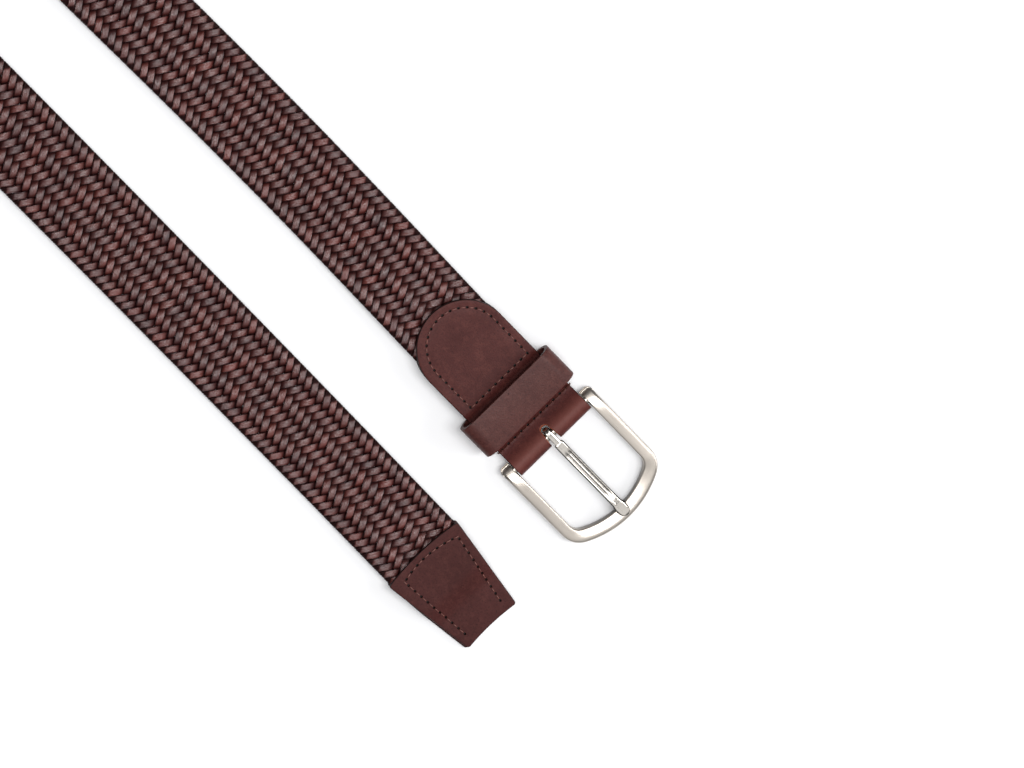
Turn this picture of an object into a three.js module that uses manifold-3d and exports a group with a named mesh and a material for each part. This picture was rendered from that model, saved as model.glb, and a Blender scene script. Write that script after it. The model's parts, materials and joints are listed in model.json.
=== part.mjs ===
// A braided leather belt with a sewn buckle tab, a metal frame buckle with one prong,
// and a tapered leather tail, lying in a long loop on a flat surface.
// Millimetres, +Z up, +X from the loop towards the buckle, the buckle's run on the +Y side.

import * as THREE from 'three';
import { mergeVertices } from 'three/addons/utils/BufferGeometryUtils.js';
import Module from 'manifold-3d';

const wasm = await Module();
wasm.setup();

// The strap as a whole
const BELT_LENGTH = 1100;        // along the strap, from the buckle's bar to the tail's end
const TAIL_PAST_BAR = 36.4;      // how far the tail's end lies ahead of the bar
const RUN_SPACING = 60;          // between the middles of the two flat runs
const RUN_BOW = 1.6;             // the buckle's run bows outwards this far at its middle
const TAIL_DRIFT = 3;            // the tail drifts outwards this far by its end
const SLOPE_STEP = 1;            // stretch of the strap that its slope in plan is measured over
const CLEARANCE = 0.3;           // between neighbouring pieces

// The loop, where the strap stands on its edge
const TWIST_LENGTH = 130;        // each run turns from flat to upright over this length
const FLARE_ANGLE = THREE.MathUtils.degToRad(15);
const FLARE_RADIUS = 200;

// The braid
const BRAID_WIDTH = 32.5;
const BRAID_THICK = 3;
const BRAID_COLUMNS = 6;
const COLUMN_RELIEF = 0.45;      // depth of the valleys between the columns
const PRESSED_THICK = 2.2;       // where leather is sewn over it
const PRESSED_FADE = 18;         // length over which it swells to its full thickness
const SETTLE_LENGTH = 48;        // length over which it comes down onto the surface
const BRAID_TO_KEEPER = 1.6;     // its end in the tab lies this far behind the keeper
const BRAID_INTO_TIP = 15;
const BRAID_END_INSET = 3;       // each side, at its end in the tail

// The buckle tab, one strip folded round the bar
const TAB_WIDTH = 35;
const TAB_LEATHER = 1.6;
const TAB_LENGTH = 62.7;         // from the bar to the round end
const TAB_SEAM_TO_BAR = 8.4;     // the stitched groove next to the fold
const FOLD_START = THREE.MathUtils.degToRad(118); // where the front layer meets the fold round the bar
const SLOT_WIDTH = 4.3;
const SLOT_BEHIND_BAR = 4.3;

// The keeper
const KEEPER_WIDTH = 13.8;
const KEEPER_SPAN = 42.9;        // outside, across the strap
const KEEPER_LEATHER = 1.5;
const KEEPER_TO_BAR = 11.5;      // from the bar to its near edge
const KEEPER_ROOM = 5.2;         // free height over the tab for the tail
const KEEPER_CORNER = 4.6;       // outside radius of its corners

// The tail's two layers
const TIP_LEATHER = 1.3;
const TIP_LENGTH = 38;
const TIP_ROOT_WIDTH = 33.8;
const TIP_END_WIDTH = 23.7;
const TIP_ROOT_BOW = 1.4;        // the root's edge bulges over the braid
const TIP_END_HOLLOW = 0.8;      // the end's edge is slightly hollow
const TIP_SINK_START = 1;        // past the braid's end, where the front layer starts to come down
const TIP_SINK_LENGTH = 9;       // length over which it comes down to the back layer

// The buckle's frame
const FRAME_HALF_WIDTH = 22.2;
const FRAME_REACH = 43.1;        // from the bar to the front, outside
const LEG_WIDTH = 4.3;
const FRONT_WIDTH = 5.3;
const LEG_THICK = 3.5;
const FRONT_THICK = 4;
const FRONT_BOW_RADIUS = 36;
const OUTER_CORNER = 9;
const INNER_CORNER = 5;
const LEG_PAST_BAR = 3.5;
const LEG_NOSE_LENGTH = 5.6;     // the leg's rounded rear end
const LEG_NOSE_INSET = 1.9;      // the nose's outer corner, rounded off in plan
const BAR_DIAMETER = 3.2;

// The prong
const PRONG_REACH = 40.9;
const PRONG_THICK = 2.5;
const PRONG_WIDTH = 3.75;
const PRONG_TIP_WIDTH = 4.7;
const PRONG_EYE_WIDTH = 2.5;
const PRONG_EYE_WALL = 1.3;
const FLUTE_DEPTH = 0.35;

// Heights and places that follow from the sizes above
const barRadius = BAR_DIAMETER / 2;
const foldInner = barRadius + CLEARANCE;
const barHeight = foldInner + TAB_LEATHER;
const keeperFar = KEEPER_TO_BAR + KEEPER_WIDTH;
const braidStart = keeperFar + BRAID_TO_KEEPER;
const tabUnderBraid = TAB_LEATHER + PRESSED_THICK + 2 * CLEARANCE;
const tabUnderKeeper = TAB_LEATHER + KEEPER_LEATHER + 2 * CLEARANCE;
const tipUnderBraid = TIP_LEATHER + PRESSED_THICK + 2 * CLEARANCE;
const tabBraidHeight = TAB_LEATHER + CLEARANCE + PRESSED_THICK / 2;
const tipBraidHeight = TIP_LEATHER + CLEARANCE + PRESSED_THICK / 2;

// Small helpers
const smooth = (share) => {
  const t = THREE.MathUtils.clamp(share, 0, 1);
  return t * t * (3 - 2 * t);
};
const lerp = THREE.MathUtils.lerp;

// A closed skin through rings of points that all follow one outline, with flat ends
function loft(rings, outline) {
  const count = outline.length;
  const positions = rings.flat().flatMap((point) => [point.x, point.y, point.z]);
  const faces = [];
  for (let ring = 0; ring < rings.length - 1; ring++) {
    for (let i = 0; i < count; i++) {
      const a = ring * count + i;
      const b = ring * count + (i + 1) % count;
      faces.push(a, b, b + count, a, b + count, a + count);
    }
  }
  const cap = THREE.ShapeUtils.triangulateShape(outline, []);
  const clockwise = THREE.ShapeUtils.isClockWise(outline);
  const last = (rings.length - 1) * count;
  for (const [a, second, third] of cap) {
    const [b, c] = clockwise ? [third, second] : [second, third];
    faces.push(a, c, b, last + a, last + b, last + c);
  }
  const geometry = new THREE.BufferGeometry();
  geometry.setAttribute('position', new THREE.Float32BufferAttribute(positions, 3));
  geometry.setIndex(faces);
  return geometry;
}

// Solids for joining and cutting
function solid(geometry) {
  const bare = geometry.clone();
  bare.deleteAttribute('normal');
  bare.deleteAttribute('uv');
  const merged = mergeVertices(bare, 1e-4);
  return new wasm.Manifold(new wasm.Mesh({
    numProp: 3,
    vertProperties: new Float32Array(merged.attributes.position.array),
    triVerts: new Uint32Array(merged.index.array),
  }));
}

function surface(body) {
  const mesh = body.getMesh();
  const geometry = new THREE.BufferGeometry();
  geometry.setAttribute('position', new THREE.BufferAttribute(mesh.vertProperties, 3));
  geometry.setIndex(new THREE.BufferAttribute(mesh.triVerts, 1));
  return geometry;
}

function extruded(shape, depth, curveSegments = 8) {
  return new THREE.ExtrudeGeometry(shape, { depth, bevelEnabled: false, curveSegments });
}

// The strap's middle line in plan, in straight and round pieces, measured back from the bar
const hairpinRadius = (RUN_SPACING / 2 + FLARE_RADIUS * (1 - Math.cos(FLARE_ANGLE))) / Math.cos(FLARE_ANGLE);
const flareLength = FLARE_RADIUS * FLARE_ANGLE;
const hairpinLength = hairpinRadius * (Math.PI + 2 * FLARE_ANGLE);
const buckleRun = (BELT_LENGTH - TAIL_PAST_BAR - hairpinLength) / 2 - flareLength;
const tailRun = buckleRun + TAIL_PAST_BAR;
const planPieces = [
  { length: buckleRun, curvature: 0 },
  { length: flareLength, curvature: -1 / FLARE_RADIUS },
  { length: hairpinLength, curvature: 1 / hairpinRadius },
  { length: flareLength, curvature: -1 / FLARE_RADIUS },
  { length: tailRun, curvature: 0 },
];
const twistEnd = BELT_LENGTH - tailRun;

function planAt(distance) {
  const place = { x: 0, y: RUN_SPACING / 2, heading: Math.PI };
  let left = distance;
  for (const { length, curvature } of planPieces) {
    const run = Math.min(left, length);
    const turned = place.heading + run * curvature;
    if (curvature === 0) {
      place.x += run * Math.cos(turned);
      place.y += run * Math.sin(turned);
    } else {
      place.x += (Math.sin(turned) - Math.sin(place.heading)) / curvature;
      place.y -= (Math.cos(turned) - Math.cos(place.heading)) / curvature;
    }
    place.heading = turned;
    left -= run;
  }
  return place;
}

// How far a run lies outwards of its straight line: a bow on the buckle's run, a drift on the tail's
function outwardShift(distance) {
  const flatLength = buckleRun - TWIST_LENGTH;
  if (distance < flatLength) {
    return RUN_BOW * Math.sin(Math.PI * distance / flatLength) ** 2;
  }
  const flatTail = tailRun - TWIST_LENGTH;
  const share = Math.max(0, distance - (BELT_LENGTH - flatTail)) / flatTail;
  return TAIL_DRIFT * share * share;
}

// 0 where the strap lies flat, a quarter turn where it stands on its edge
function rollAt(distance) {
  const rising = smooth((distance - (buckleRun - TWIST_LENGTH)) / TWIST_LENGTH);
  const falling = smooth((distance - twistEnd) / TWIST_LENGTH);
  return (rising - falling) * Math.PI / 2;
}

// The strap's middle and its own directions at a distance from the bar
function strapAt(distance) {
  const { x, y, heading } = planAt(distance);
  const outward = new THREE.Vector3(Math.sin(heading), -Math.cos(heading), 0);
  const shift = outwardShift(distance);
  const step = SLOPE_STEP / 2;
  const slope = (outwardShift(distance + step) - outwardShift(distance - step)) / SLOPE_STEP;
  const along = new THREE.Vector3(Math.cos(heading), Math.sin(heading), 0);
  const across = outward.clone().addScaledVector(along, -slope).normalize();
  const roll = rollAt(distance);
  const up = new THREE.Vector3(0, 0, 1);
  return {
    middle: new THREE.Vector3(x, y, 0).addScaledVector(outward, shift),
    across: across.clone().multiplyScalar(Math.cos(roll)).addScaledVector(up, -Math.sin(roll)),
    face: up.clone().multiplyScalar(Math.cos(roll)).addScaledVector(across, Math.sin(roll)),
    roll,
  };
}

// The braid: one woven band with a rib for each column of the plait, from inside the tab to inside the tail
const tipRoot = BELT_LENGTH - TIP_LENGTH;
const braidEnd = tipRoot + BRAID_INTO_TIP;

function braidSection(distance) {
  const fromTab = distance - TAB_LENGTH;
  const fromTip = tipRoot - distance;
  const swell = smooth(Math.min(fromTab, fromTip) / PRESSED_FADE);
  const settle = smooth(Math.min(fromTab, fromTip) / SETTLE_LENGTH);
  const sewnHeight = fromTab < fromTip ? tabBraidHeight : tipBraidHeight;
  const inTip = smooth(-fromTip / BRAID_INTO_TIP);
  return {
    width: BRAID_WIDTH - 2 * BRAID_END_INSET * inTip,
    thick: lerp(PRESSED_THICK, BRAID_THICK, swell),
    flatHeight: lerp(sewnHeight, BRAID_THICK / 2, settle),
  };
}

// Shares of the half width and of the half thickness, one rib crest for each column
function braidOutline(width, thick) {
  const valley = 1 - COLUMN_RELIEF / (thick / 2);
  const column = 2 / BRAID_COLUMNS;
  const edgeRound = column * 0.12;
  const top = [[edgeRound - 1, valley]];
  for (let k = 0; k < BRAID_COLUMNS; k++) {
    top.push([-1 + column * (k + 0.5), 1]);
    top.push([-1 + column * (k + 1), valley]);
  }
  top.at(-1)[0] -= edgeRound;
  const bottom = top.map(([across, up]) => [across, -up]).reverse();
  const ring = [[-1, 0], ...top, [1, 0], ...bottom];
  return ring.map(([across, up]) => new THREE.Vector2(across * width / 2, up * thick / 2));
}

// Stretches of the braid: where each ends and how many sections it takes
const braidStretches = [
  [TAB_LENGTH, 1],
  [TAB_LENGTH + SETTLE_LENGTH, 6],
  [buckleRun - TWIST_LENGTH, 4],
  [buckleRun, 10],
  [buckleRun + flareLength, 2],
  [buckleRun + flareLength + hairpinLength, 24],
  [twistEnd, 2],
  [twistEnd + TWIST_LENGTH, 10],
  [tipRoot - SETTLE_LENGTH, 4],
  [tipRoot, 6],
  [braidEnd, 3],
];

function braidGeometry() {
  const distances = [braidStart];
  for (const [end, steps] of braidStretches) {
    const start = distances.at(-1);
    for (let k = 1; k <= steps; k++) distances.push(lerp(start, end, k / steps));
  }
  const rings = distances.map((distance) => {
    const { middle, across, face, roll } = strapAt(distance);
    const { width, thick, flatHeight } = braidSection(distance);
    middle.z = flatHeight * Math.cos(roll) + width / 2 * Math.sin(roll);
    return braidOutline(width, thick).map((point) => (
      middle.clone().addScaledVector(across, point.x).addScaledVector(face, point.y)
    ));
  });
  return loft(rings, braidOutline(BRAID_WIDTH, BRAID_THICK));
}

// The buckle tab: the strip's side view, as thick as the leather, then its round ends and the prong's slot
// Stations of the front layer's underside, from the round end to the seam by the fold
const tabStations = [
  { behind: TAB_LENGTH, under: tabUnderBraid },
  { behind: braidStart + CLEARANCE, under: tabUnderBraid },
  { behind: keeperFar + CLEARANCE, under: tabUnderKeeper },
  { behind: KEEPER_TO_BAR - CLEARANCE, under: tabUnderKeeper },
  { behind: TAB_SEAM_TO_BAR, under: TAB_LEATHER + CLEARANCE },
];

function tabMiddleLine() {
  const points = [];
  for (let i = 0; i < tabStations.length - 1; i++) {
    const from = tabStations[i];
    const to = tabStations[i + 1];
    const steps = from.under === to.under ? 1 : 6;
    for (let k = 0; k < steps; k++) {
      const under = lerp(from.under, to.under, smooth(k / steps));
      points.push(new THREE.Vector2(-lerp(from.behind, to.behind, k / steps), under + TAB_LEATHER / 2));
    }
  }
  // The rise from the seam, then the fold round the bar, then the back layer
  const foldRadius = foldInner + TAB_LEATHER / 2;
  const bar = new THREE.Vector2(0, barHeight);
  const onFold = (angle) => (
    new THREE.Vector2(Math.cos(angle), Math.sin(angle)).multiplyScalar(foldRadius).add(bar)
  );
  const seam = new THREE.Vector2(-TAB_SEAM_TO_BAR, TAB_LEATHER * 1.5 + CLEARANCE);
  const fold = onFold(FOLD_START);
  const pull = (fold.x - seam.x) * 0.42;
  const rise = new THREE.CubicBezierCurve(
    seam,
    new THREE.Vector2(seam.x + pull, seam.y),
    new THREE.Vector2(fold.x - pull * Math.sin(FOLD_START), fold.y + pull * Math.cos(FOLD_START)),
    fold,
  );
  points.push(...rise.getPoints(8));
  const foldSteps = 16;
  for (let k = 1; k <= foldSteps; k++) points.push(onFold(lerp(FOLD_START, -Math.PI / 2, k / foldSteps)));
  points.push(new THREE.Vector2(-TAB_LENGTH, TAB_LEATHER / 2));
  return points;
}

function tabGeometry() {
  const line = tabMiddleLine();
  const sides = [1, -1].map((side) => line.map((point, i) => {
    const before = line[Math.max(i - 1, 0)];
    const after = line[Math.min(i + 1, line.length - 1)];
    const along = after.clone().sub(before).normalize();
    return new THREE.Vector2(-along.y, along.x).multiplyScalar(side * TAB_LEATHER / 2).add(point);
  }));
  const sideView = new THREE.Shape([...sides[0], ...sides[1].reverse()]);
  const strip = extruded(sideView, TAB_WIDTH);
  strip.rotateX(Math.PI / 2);
  strip.translate(0, TAB_WIDTH / 2, 0);

  const outline = uprightTongue(TAB_WIDTH / 2, TAB_LENGTH, 24);
  const slot = uprightTongue(SLOT_WIDTH / 2, SLOT_BEHIND_BAR, 10);
  return surface(solid(strip).intersect(solid(outline)).subtract(solid(slot)));
}

// An upright prism with a round end behind the bar, open past the fold
function uprightTongue(half, behind, curveSegments) {
  const ahead = barHeight * 2;
  const shape = new THREE.Shape();
  shape.moveTo(ahead, half);
  shape.lineTo(half - behind, half);
  shape.absarc(half - behind, 0, half, Math.PI / 2, Math.PI * 1.5, false);
  shape.lineTo(ahead, -half);
  const prism = extruded(shape, barHeight * 3, curveSegments);
  prism.translate(0, 0, -barHeight / 2);
  return prism;
}

// The keeper: a leather loop whose lower run passes between the tab's layers
function roundedBox(shape, halfWidth, low, high, corner) {
  shape.moveTo(halfWidth, low + corner);
  shape.absarc(halfWidth - corner, high - corner, corner, 0, Math.PI / 2, false);
  shape.absarc(corner - halfWidth, high - corner, corner, Math.PI / 2, Math.PI, false);
  shape.absarc(corner - halfWidth, low + corner, corner, Math.PI, Math.PI * 1.5, false);
  shape.absarc(halfWidth - corner, low + corner, corner, Math.PI * 1.5, Math.PI * 2, false);
  return shape;
}

function keeperGeometry() {
  const low = TAB_LEATHER + CLEARANCE;
  const high = tabUnderKeeper + TAB_LEATHER + KEEPER_ROOM + KEEPER_LEATHER;
  const half = KEEPER_SPAN / 2;
  const outside = roundedBox(new THREE.Shape(), half, low, high, KEEPER_CORNER);
  const inside = roundedBox(
    new THREE.Path(),
    half - KEEPER_LEATHER,
    low + KEEPER_LEATHER,
    high - KEEPER_LEATHER,
    KEEPER_CORNER - KEEPER_LEATHER,
  );
  outside.holes.push(inside);
  const loop = extruded(outside, KEEPER_WIDTH, 6);
  loop.rotateX(Math.PI / 2);
  loop.rotateZ(Math.PI / 2);
  loop.translate(-keeperFar, 0, 0);
  return loop;
}

// The tail's layers: a slab shaped in plan, its place taken from the strap's own line
function tipLayer(underAt) {
  const slab = new THREE.BoxGeometry(1, 1, 1, 14, 8, 1);
  const spots = slab.attributes.position;
  for (let i = 0; i < spots.count; i++) {
    const along = spots.getX(i) + 0.5;
    const aside = spots.getY(i) * 2;
    const rootEdge = -TIP_ROOT_BOW * (1 - aside * aside);
    const endEdge = TIP_LENGTH - TIP_END_HOLLOW * (1 - aside * aside);
    const reach = lerp(rootEdge, endEdge, along);
    const halfWidth = lerp(TIP_ROOT_WIDTH, TIP_END_WIDTH, along) / 2;
    const { middle, across } = strapAt(tipRoot + reach);
    const height = underAt(reach) + (spots.getZ(i) + 0.5) * TIP_LEATHER;
    const spot = middle.addScaledVector(across, -aside * halfWidth);
    spots.setXYZ(i, spot.x, spot.y, height);
  }
  return slab;
}

function tipUnderside(reach) {
  const past = (reach - BRAID_INTO_TIP - TIP_SINK_START) / TIP_SINK_LENGTH;
  return lerp(tipUnderBraid, TIP_LEATHER + CLEARANCE, smooth(past));
}

// The buckle's frame: a section swept round the horseshoe between its outer and inner outlines,
// joined to the bar. Its own origin is on the bar's axis.
const frameSection = [
  // across: inner edge to outer edge, up: underside to top, both from -1 to 1
  { across: -1, up: -0.6 },
  { across: -0.8, up: -1 },
  { across: 0.6, up: -1 },
  { across: 1, up: -0.45 },
  { across: 1, up: 0.1 },
  { across: 0.84, up: 0.55 },
  { across: 0.5, up: 0.86 },
  { across: 0.1, up: 1 },
  { across: -0.6, up: 1 },
  { across: -0.88, up: 0.92 },
  { across: -1, up: 0.7 },
];

// One half of an outline from the leg's rear end to the middle of the front
function halfOutline(halfWidth, bowRadius, corner) {
  const bowCentre = FRAME_REACH - FRONT_BOW_RADIUS;
  const cornerY = halfWidth - corner;
  const cornerX = bowCentre + Math.sqrt((bowRadius - corner) ** 2 - cornerY ** 2);
  const meet = Math.atan2(cornerY, cornerX - bowCentre);
  const rear = new THREE.Vector2(-LEG_PAST_BAR, halfWidth);
  const leg = new THREE.LineCurve(rear, new THREE.Vector2(cornerX, halfWidth));
  const bend = new THREE.EllipseCurve(cornerX, cornerY, corner, corner, Math.PI / 2, meet, true);
  const bow = new THREE.EllipseCurve(bowCentre, 0, bowRadius, bowRadius, meet, 0, true);
  const noseStations = [0, 0.03, 0.1, 0.25, 0.5, 0.75, 1];
  const nose = noseStations.map((share) => leg.getPoint(share * LEG_NOSE_LENGTH / leg.getLength()));
  return [...nose, ...bend.getPoints(9), ...bow.getPoints(7).slice(1)];
}

function frameGeometry() {
  const outer = halfOutline(FRAME_HALF_WIDTH, FRONT_BOW_RADIUS, OUTER_CORNER);
  const inner = halfOutline(FRAME_HALF_WIDTH - LEG_WIDTH, FRONT_BOW_RADIUS - FRONT_WIDTH, INNER_CORNER);
  const half = outer.map((outside, i) => {
    const inside = inner[i];
    const fromNose = THREE.MathUtils.clamp((outside.x + LEG_PAST_BAR) / LEG_NOSE_LENGTH, 0, 1);
    const fullness = Math.sqrt(1 - (1 - Math.max(fromNose, 0.02)) ** 2);
    const towardsFront = smooth((outside.x - FRAME_REACH / 2) / (FRAME_REACH / 2));
    const thick = lerp(LEG_THICK, FRONT_THICK, towardsFront) * fullness;
    const inset = LEG_NOSE_INSET * (1 - Math.sqrt(1 - (1 - Math.min(fromNose * 2, 1)) ** 2));
    return { outside: new THREE.Vector2(outside.x, outside.y - inset), inside, thick };
  });
  const mirrored = half.slice(0, -1).reverse().map(({ outside, inside, thick }) => ({
    outside: new THREE.Vector2(outside.x, -outside.y),
    inside: new THREE.Vector2(inside.x, -inside.y),
    thick,
  }));
  const rings = [...half, ...mirrored].map(({ outside, inside, thick }) => (
    frameSection.map(({ across, up }) => {
      const plan = inside.clone().lerp(outside, (across + 1) / 2);
      return new THREE.Vector3(plan.x, plan.y, up * thick / 2);
    })
  ));
  const outline = frameSection.map(({ across, up }) => new THREE.Vector2(across, up));
  const horseshoe = loft(rings, outline);
  const barLength = 2 * FRAME_HALF_WIDTH - LEG_WIDTH;
  const bar = new THREE.CylinderGeometry(barRadius, barRadius, barLength, 16);
  return surface(solid(horseshoe).add(solid(bar)));
}

// The frame leans down from the bar until its front rests on the surface
const frontMiddle = FRAME_REACH - FRONT_WIDTH / 2;
const frameLean = Math.asin((barHeight - FRONT_THICK / 2) / FRAME_REACH);

// The prong: an eye round the bar, and an arm whose sections run along it.
// Its own origin is on the bar's axis.
const eyeRadius = barRadius + CLEARANCE + PRONG_EYE_WALL;
const frontTop = FRONT_THICK / 2 * Math.cos(frameLean) - frontMiddle * Math.sin(frameLean);
const prongRoot = eyeRadius - PRONG_THICK;
const prongTip = frontTop + CLEARANCE;
const shoulder = barHeight + 1.5 * CLEARANCE;

const prongStations = [
  // along: share of the way from the shoulder to the tip, thick: share of the prong's thickness,
  // wide: 0 as wide as the prong, 1 as wide as its tip, end: share of that width, flute: share of its depth
  { along: 0, thick: 1, wide: 0, end: 0.86, flute: 0 },
  { along: 0.02, thick: 1, wide: 0, end: 1, flute: 0 },
  { along: 0.09, thick: 0.97, wide: 0, end: 1, flute: 0 },
  { along: 0.14, thick: 0.86, wide: 0, end: 1, flute: 1 },
  { along: 0.69, thick: 0.8, wide: 0, end: 1, flute: 1 },
  { along: 0.73, thick: 0.82, wide: 0, end: 1, flute: 0.5 },
  { along: 0.78, thick: 0.93, wide: 0, end: 1, flute: 0 },
  { along: 0.84, thick: 1, wide: 0.25, end: 1, flute: 0 },
  { along: 0.89, thick: 1, wide: 1, end: 1, flute: 0 },
  { along: 0.94, thick: 0.98, wide: 1, end: 0.97, flute: 0 },
  { along: 0.97, thick: 0.94, wide: 1, end: 0.82, flute: 0 },
  { along: 0.99, thick: 0.88, wide: 1, end: 0.58, flute: 0 },
  { along: 1, thick: 0.8, wide: 1, end: 0.25, flute: 0 },
];

function prongGeometry() {
  const rings = prongStations.map(({ along, thick, wide, end, flute }) => {
    const x = lerp(shoulder, PRONG_REACH, along);
    const half = lerp(PRONG_WIDTH, PRONG_TIP_WIDTH, wide) / 2 * end;
    const low = lerp(prongRoot, prongTip, along);
    const high = low + PRONG_THICK * thick;
    const dip = FLUTE_DEPTH * flute;
    return [
      [-half, low + PRONG_THICK * 0.2],
      [-half * 0.7, low],
      [half * 0.7, low],
      [half, low + PRONG_THICK * 0.2],
      [half, high - PRONG_THICK * 0.12],
      [half * 0.85, high],
      [half * 0.45, high - dip],
      [0, high - dip * 0.2],
      [-half * 0.45, high - dip],
      [-half * 0.85, high],
      [-half, high - PRONG_THICK * 0.12],
    ].map(([across, up]) => new THREE.Vector3(x, across, up));
  });
  const outline = rings[1].map((point) => new THREE.Vector2(point.y, point.z));
  const arm = loft(rings, outline);

  const sideView = new THREE.Shape();
  sideView.absarc(0, 0, eyeRadius, Math.PI / 2, Math.PI * 2 + 0.2, false);
  sideView.lineTo(shoulder + CLEARANCE, prongRoot + PRONG_THICK * 0.1);
  sideView.lineTo(shoulder + CLEARANCE, eyeRadius * 0.99);
  const hole = new THREE.Path();
  hole.absarc(0, 0, barRadius + CLEARANCE, 0, Math.PI * 2, true);
  sideView.holes.push(hole);
  const eye = extruded(sideView, PRONG_EYE_WIDTH, 12);
  eye.rotateX(Math.PI / 2);
  eye.translate(0, PRONG_EYE_WIDTH / 2, 0);
  return surface(solid(arm).add(solid(eye)));
}

// Materials and the finished belt
function piece(name, geometry, color, roughness, metalness) {
  const material = new THREE.MeshStandardMaterial({ color, roughness, metalness });
  const mesh = new THREE.Mesh(geometry, material);
  mesh.name = name;
  return mesh;
}

const LEATHER = 0x4a2622;
const BRAIDED_LEATHER = 0x3d2220;
const NICKEL = 0xb3aaa0;

const strapPieces = [
  piece('braid', braidGeometry(), BRAIDED_LEATHER, 0.45, 0),
  piece('tip_back', tipLayer(() => 0), LEATHER, 0.6, 0),
  piece('tip_front', tipLayer(tipUnderside), LEATHER, 0.6, 0),
];

const buckleEnd = new THREE.Group();
buckleEnd.position.set(0, RUN_SPACING / 2, 0);
buckleEnd.add(piece('buckle_tab', tabGeometry(), LEATHER, 0.6, 0));
buckleEnd.add(piece('keeper', keeperGeometry(), LEATHER, 0.6, 0));

const frame = piece('buckle_frame', frameGeometry(), NICKEL, 0.35, 1);
frame.position.set(0, 0, barHeight);
frame.rotation.set(0, frameLean, 0);
const prong = piece('prong', prongGeometry(), NICKEL, 0.2, 1);
prong.position.set(0, 0, barHeight);
buckleEnd.add(frame, prong);

const belt = new THREE.Group();
belt.add(...strapPieces, buckleEnd);
belt.updateMatrixWorld(true);

// The origin goes to the middle of the base
const reach = new THREE.Box3().setFromObject(belt, true);
const middle = reach.getCenter(new THREE.Vector3());
belt.position.set(-middle.x, -middle.y, -reach.min.z);

export default belt;
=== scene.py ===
# A braided leather belt with a sewn buckle tab, a brushed frame buckle and a tapered tail,
# laid in a long loop on a pale studio floor. Lengths are in metres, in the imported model's frame.
import json
import math

import bpy
import numpy as np
from mathutils import Matrix, Vector


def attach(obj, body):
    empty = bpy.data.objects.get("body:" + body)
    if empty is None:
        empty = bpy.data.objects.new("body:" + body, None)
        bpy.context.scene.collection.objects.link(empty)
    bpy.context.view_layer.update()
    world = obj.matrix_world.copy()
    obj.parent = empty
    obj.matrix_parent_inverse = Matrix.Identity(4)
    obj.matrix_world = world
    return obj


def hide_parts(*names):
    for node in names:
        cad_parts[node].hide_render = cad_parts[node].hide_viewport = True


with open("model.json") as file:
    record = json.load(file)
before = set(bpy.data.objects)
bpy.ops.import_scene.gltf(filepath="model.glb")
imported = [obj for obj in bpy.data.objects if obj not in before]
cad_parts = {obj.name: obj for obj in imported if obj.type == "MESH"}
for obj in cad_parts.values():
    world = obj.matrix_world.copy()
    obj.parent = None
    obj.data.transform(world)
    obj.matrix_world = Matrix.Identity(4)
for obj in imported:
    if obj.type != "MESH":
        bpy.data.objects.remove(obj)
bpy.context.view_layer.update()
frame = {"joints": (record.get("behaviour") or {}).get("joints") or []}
bpy.ops.object.select_all(action="DESELECT")

# The plait
# Thirteen strips of waxed leather lace, each laid over two of the others and under the next two.
# A strip runs slantwise from edge to edge, is folded round the edge and goes back beneath.
MM = 0.001
bar_joint = next(joint for joint in frame["joints"] if joint["name"] == "buckle_swing")
BAR = Vector(bar_joint["pos_m"])
BELT_LENGTH = 1100 * MM
TAIL_PAST_BAR = 36.4 * MM
RUN_SPACING = 60 * MM
RUN_BOW = 1.6 * MM
TAIL_DRIFT = 3 * MM
TWIST_LENGTH = 130 * MM
FLARE_ANGLE = math.radians(15)
FLARE_RADIUS = 200 * MM
CLEARANCE = 0.3 * MM
BRAID_WIDTH = 32.5 * MM
BRAID_THICK = 3 * MM
PRESSED_THICK = 2.2 * MM
PRESSED_FADE = 18 * MM
SETTLE_LENGTH = 48 * MM
BRAID_INTO_TIP = 15 * MM
BRAID_END_INSET = 3 * MM
TAB_LENGTH = 62.7 * MM
TAB_LEATHER = 1.6 * MM
TIP_LENGTH = 38 * MM
TIP_LEATHER = 1.3 * MM
KEEPER_TO_BAR = 11.5 * MM
KEEPER_WIDTH = 13.8 * MM
BRAID_TO_KEEPER = 1.6 * MM
keeper_far = KEEPER_TO_BAR + KEEPER_WIDTH
braid_start = keeper_far + BRAID_TO_KEEPER
tip_root = BELT_LENGTH - TIP_LENGTH
braid_end = tip_root + BRAID_INTO_TIP

hairpin_radius = (RUN_SPACING / 2 + FLARE_RADIUS * (1 - math.cos(FLARE_ANGLE))) / math.cos(FLARE_ANGLE)
flare_length = FLARE_RADIUS * FLARE_ANGLE
hairpin_length = hairpin_radius * (math.pi + 2 * FLARE_ANGLE)
buckle_run = (BELT_LENGTH - TAIL_PAST_BAR - hairpin_length) / 2 - flare_length
tail_run = buckle_run + TAIL_PAST_BAR
plan_pieces = [
    (buckle_run, 0),
    (flare_length, -1 / FLARE_RADIUS),
    (hairpin_length, 1 / hairpin_radius),
    (flare_length, -1 / FLARE_RADIUS),
    (tail_run, 0),
]


def smooth(share):
    share = np.clip(share, 0, 1)
    return share * share * (3 - 2 * share)


def lerp(low, high, share):
    return low + (high - low) * share


def outward_shift(distance):
    """How far the flat runs lie outwards of their straight lines."""
    flat_length = buckle_run - TWIST_LENGTH
    flat_tail = tail_run - TWIST_LENGTH
    bow = RUN_BOW * np.sin(np.pi * np.clip(distance / flat_length, 0, 1)) ** 2
    share = np.maximum(0, distance - (BELT_LENGTH - flat_tail)) / flat_tail
    return bow + TAIL_DRIFT * share * share


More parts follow.
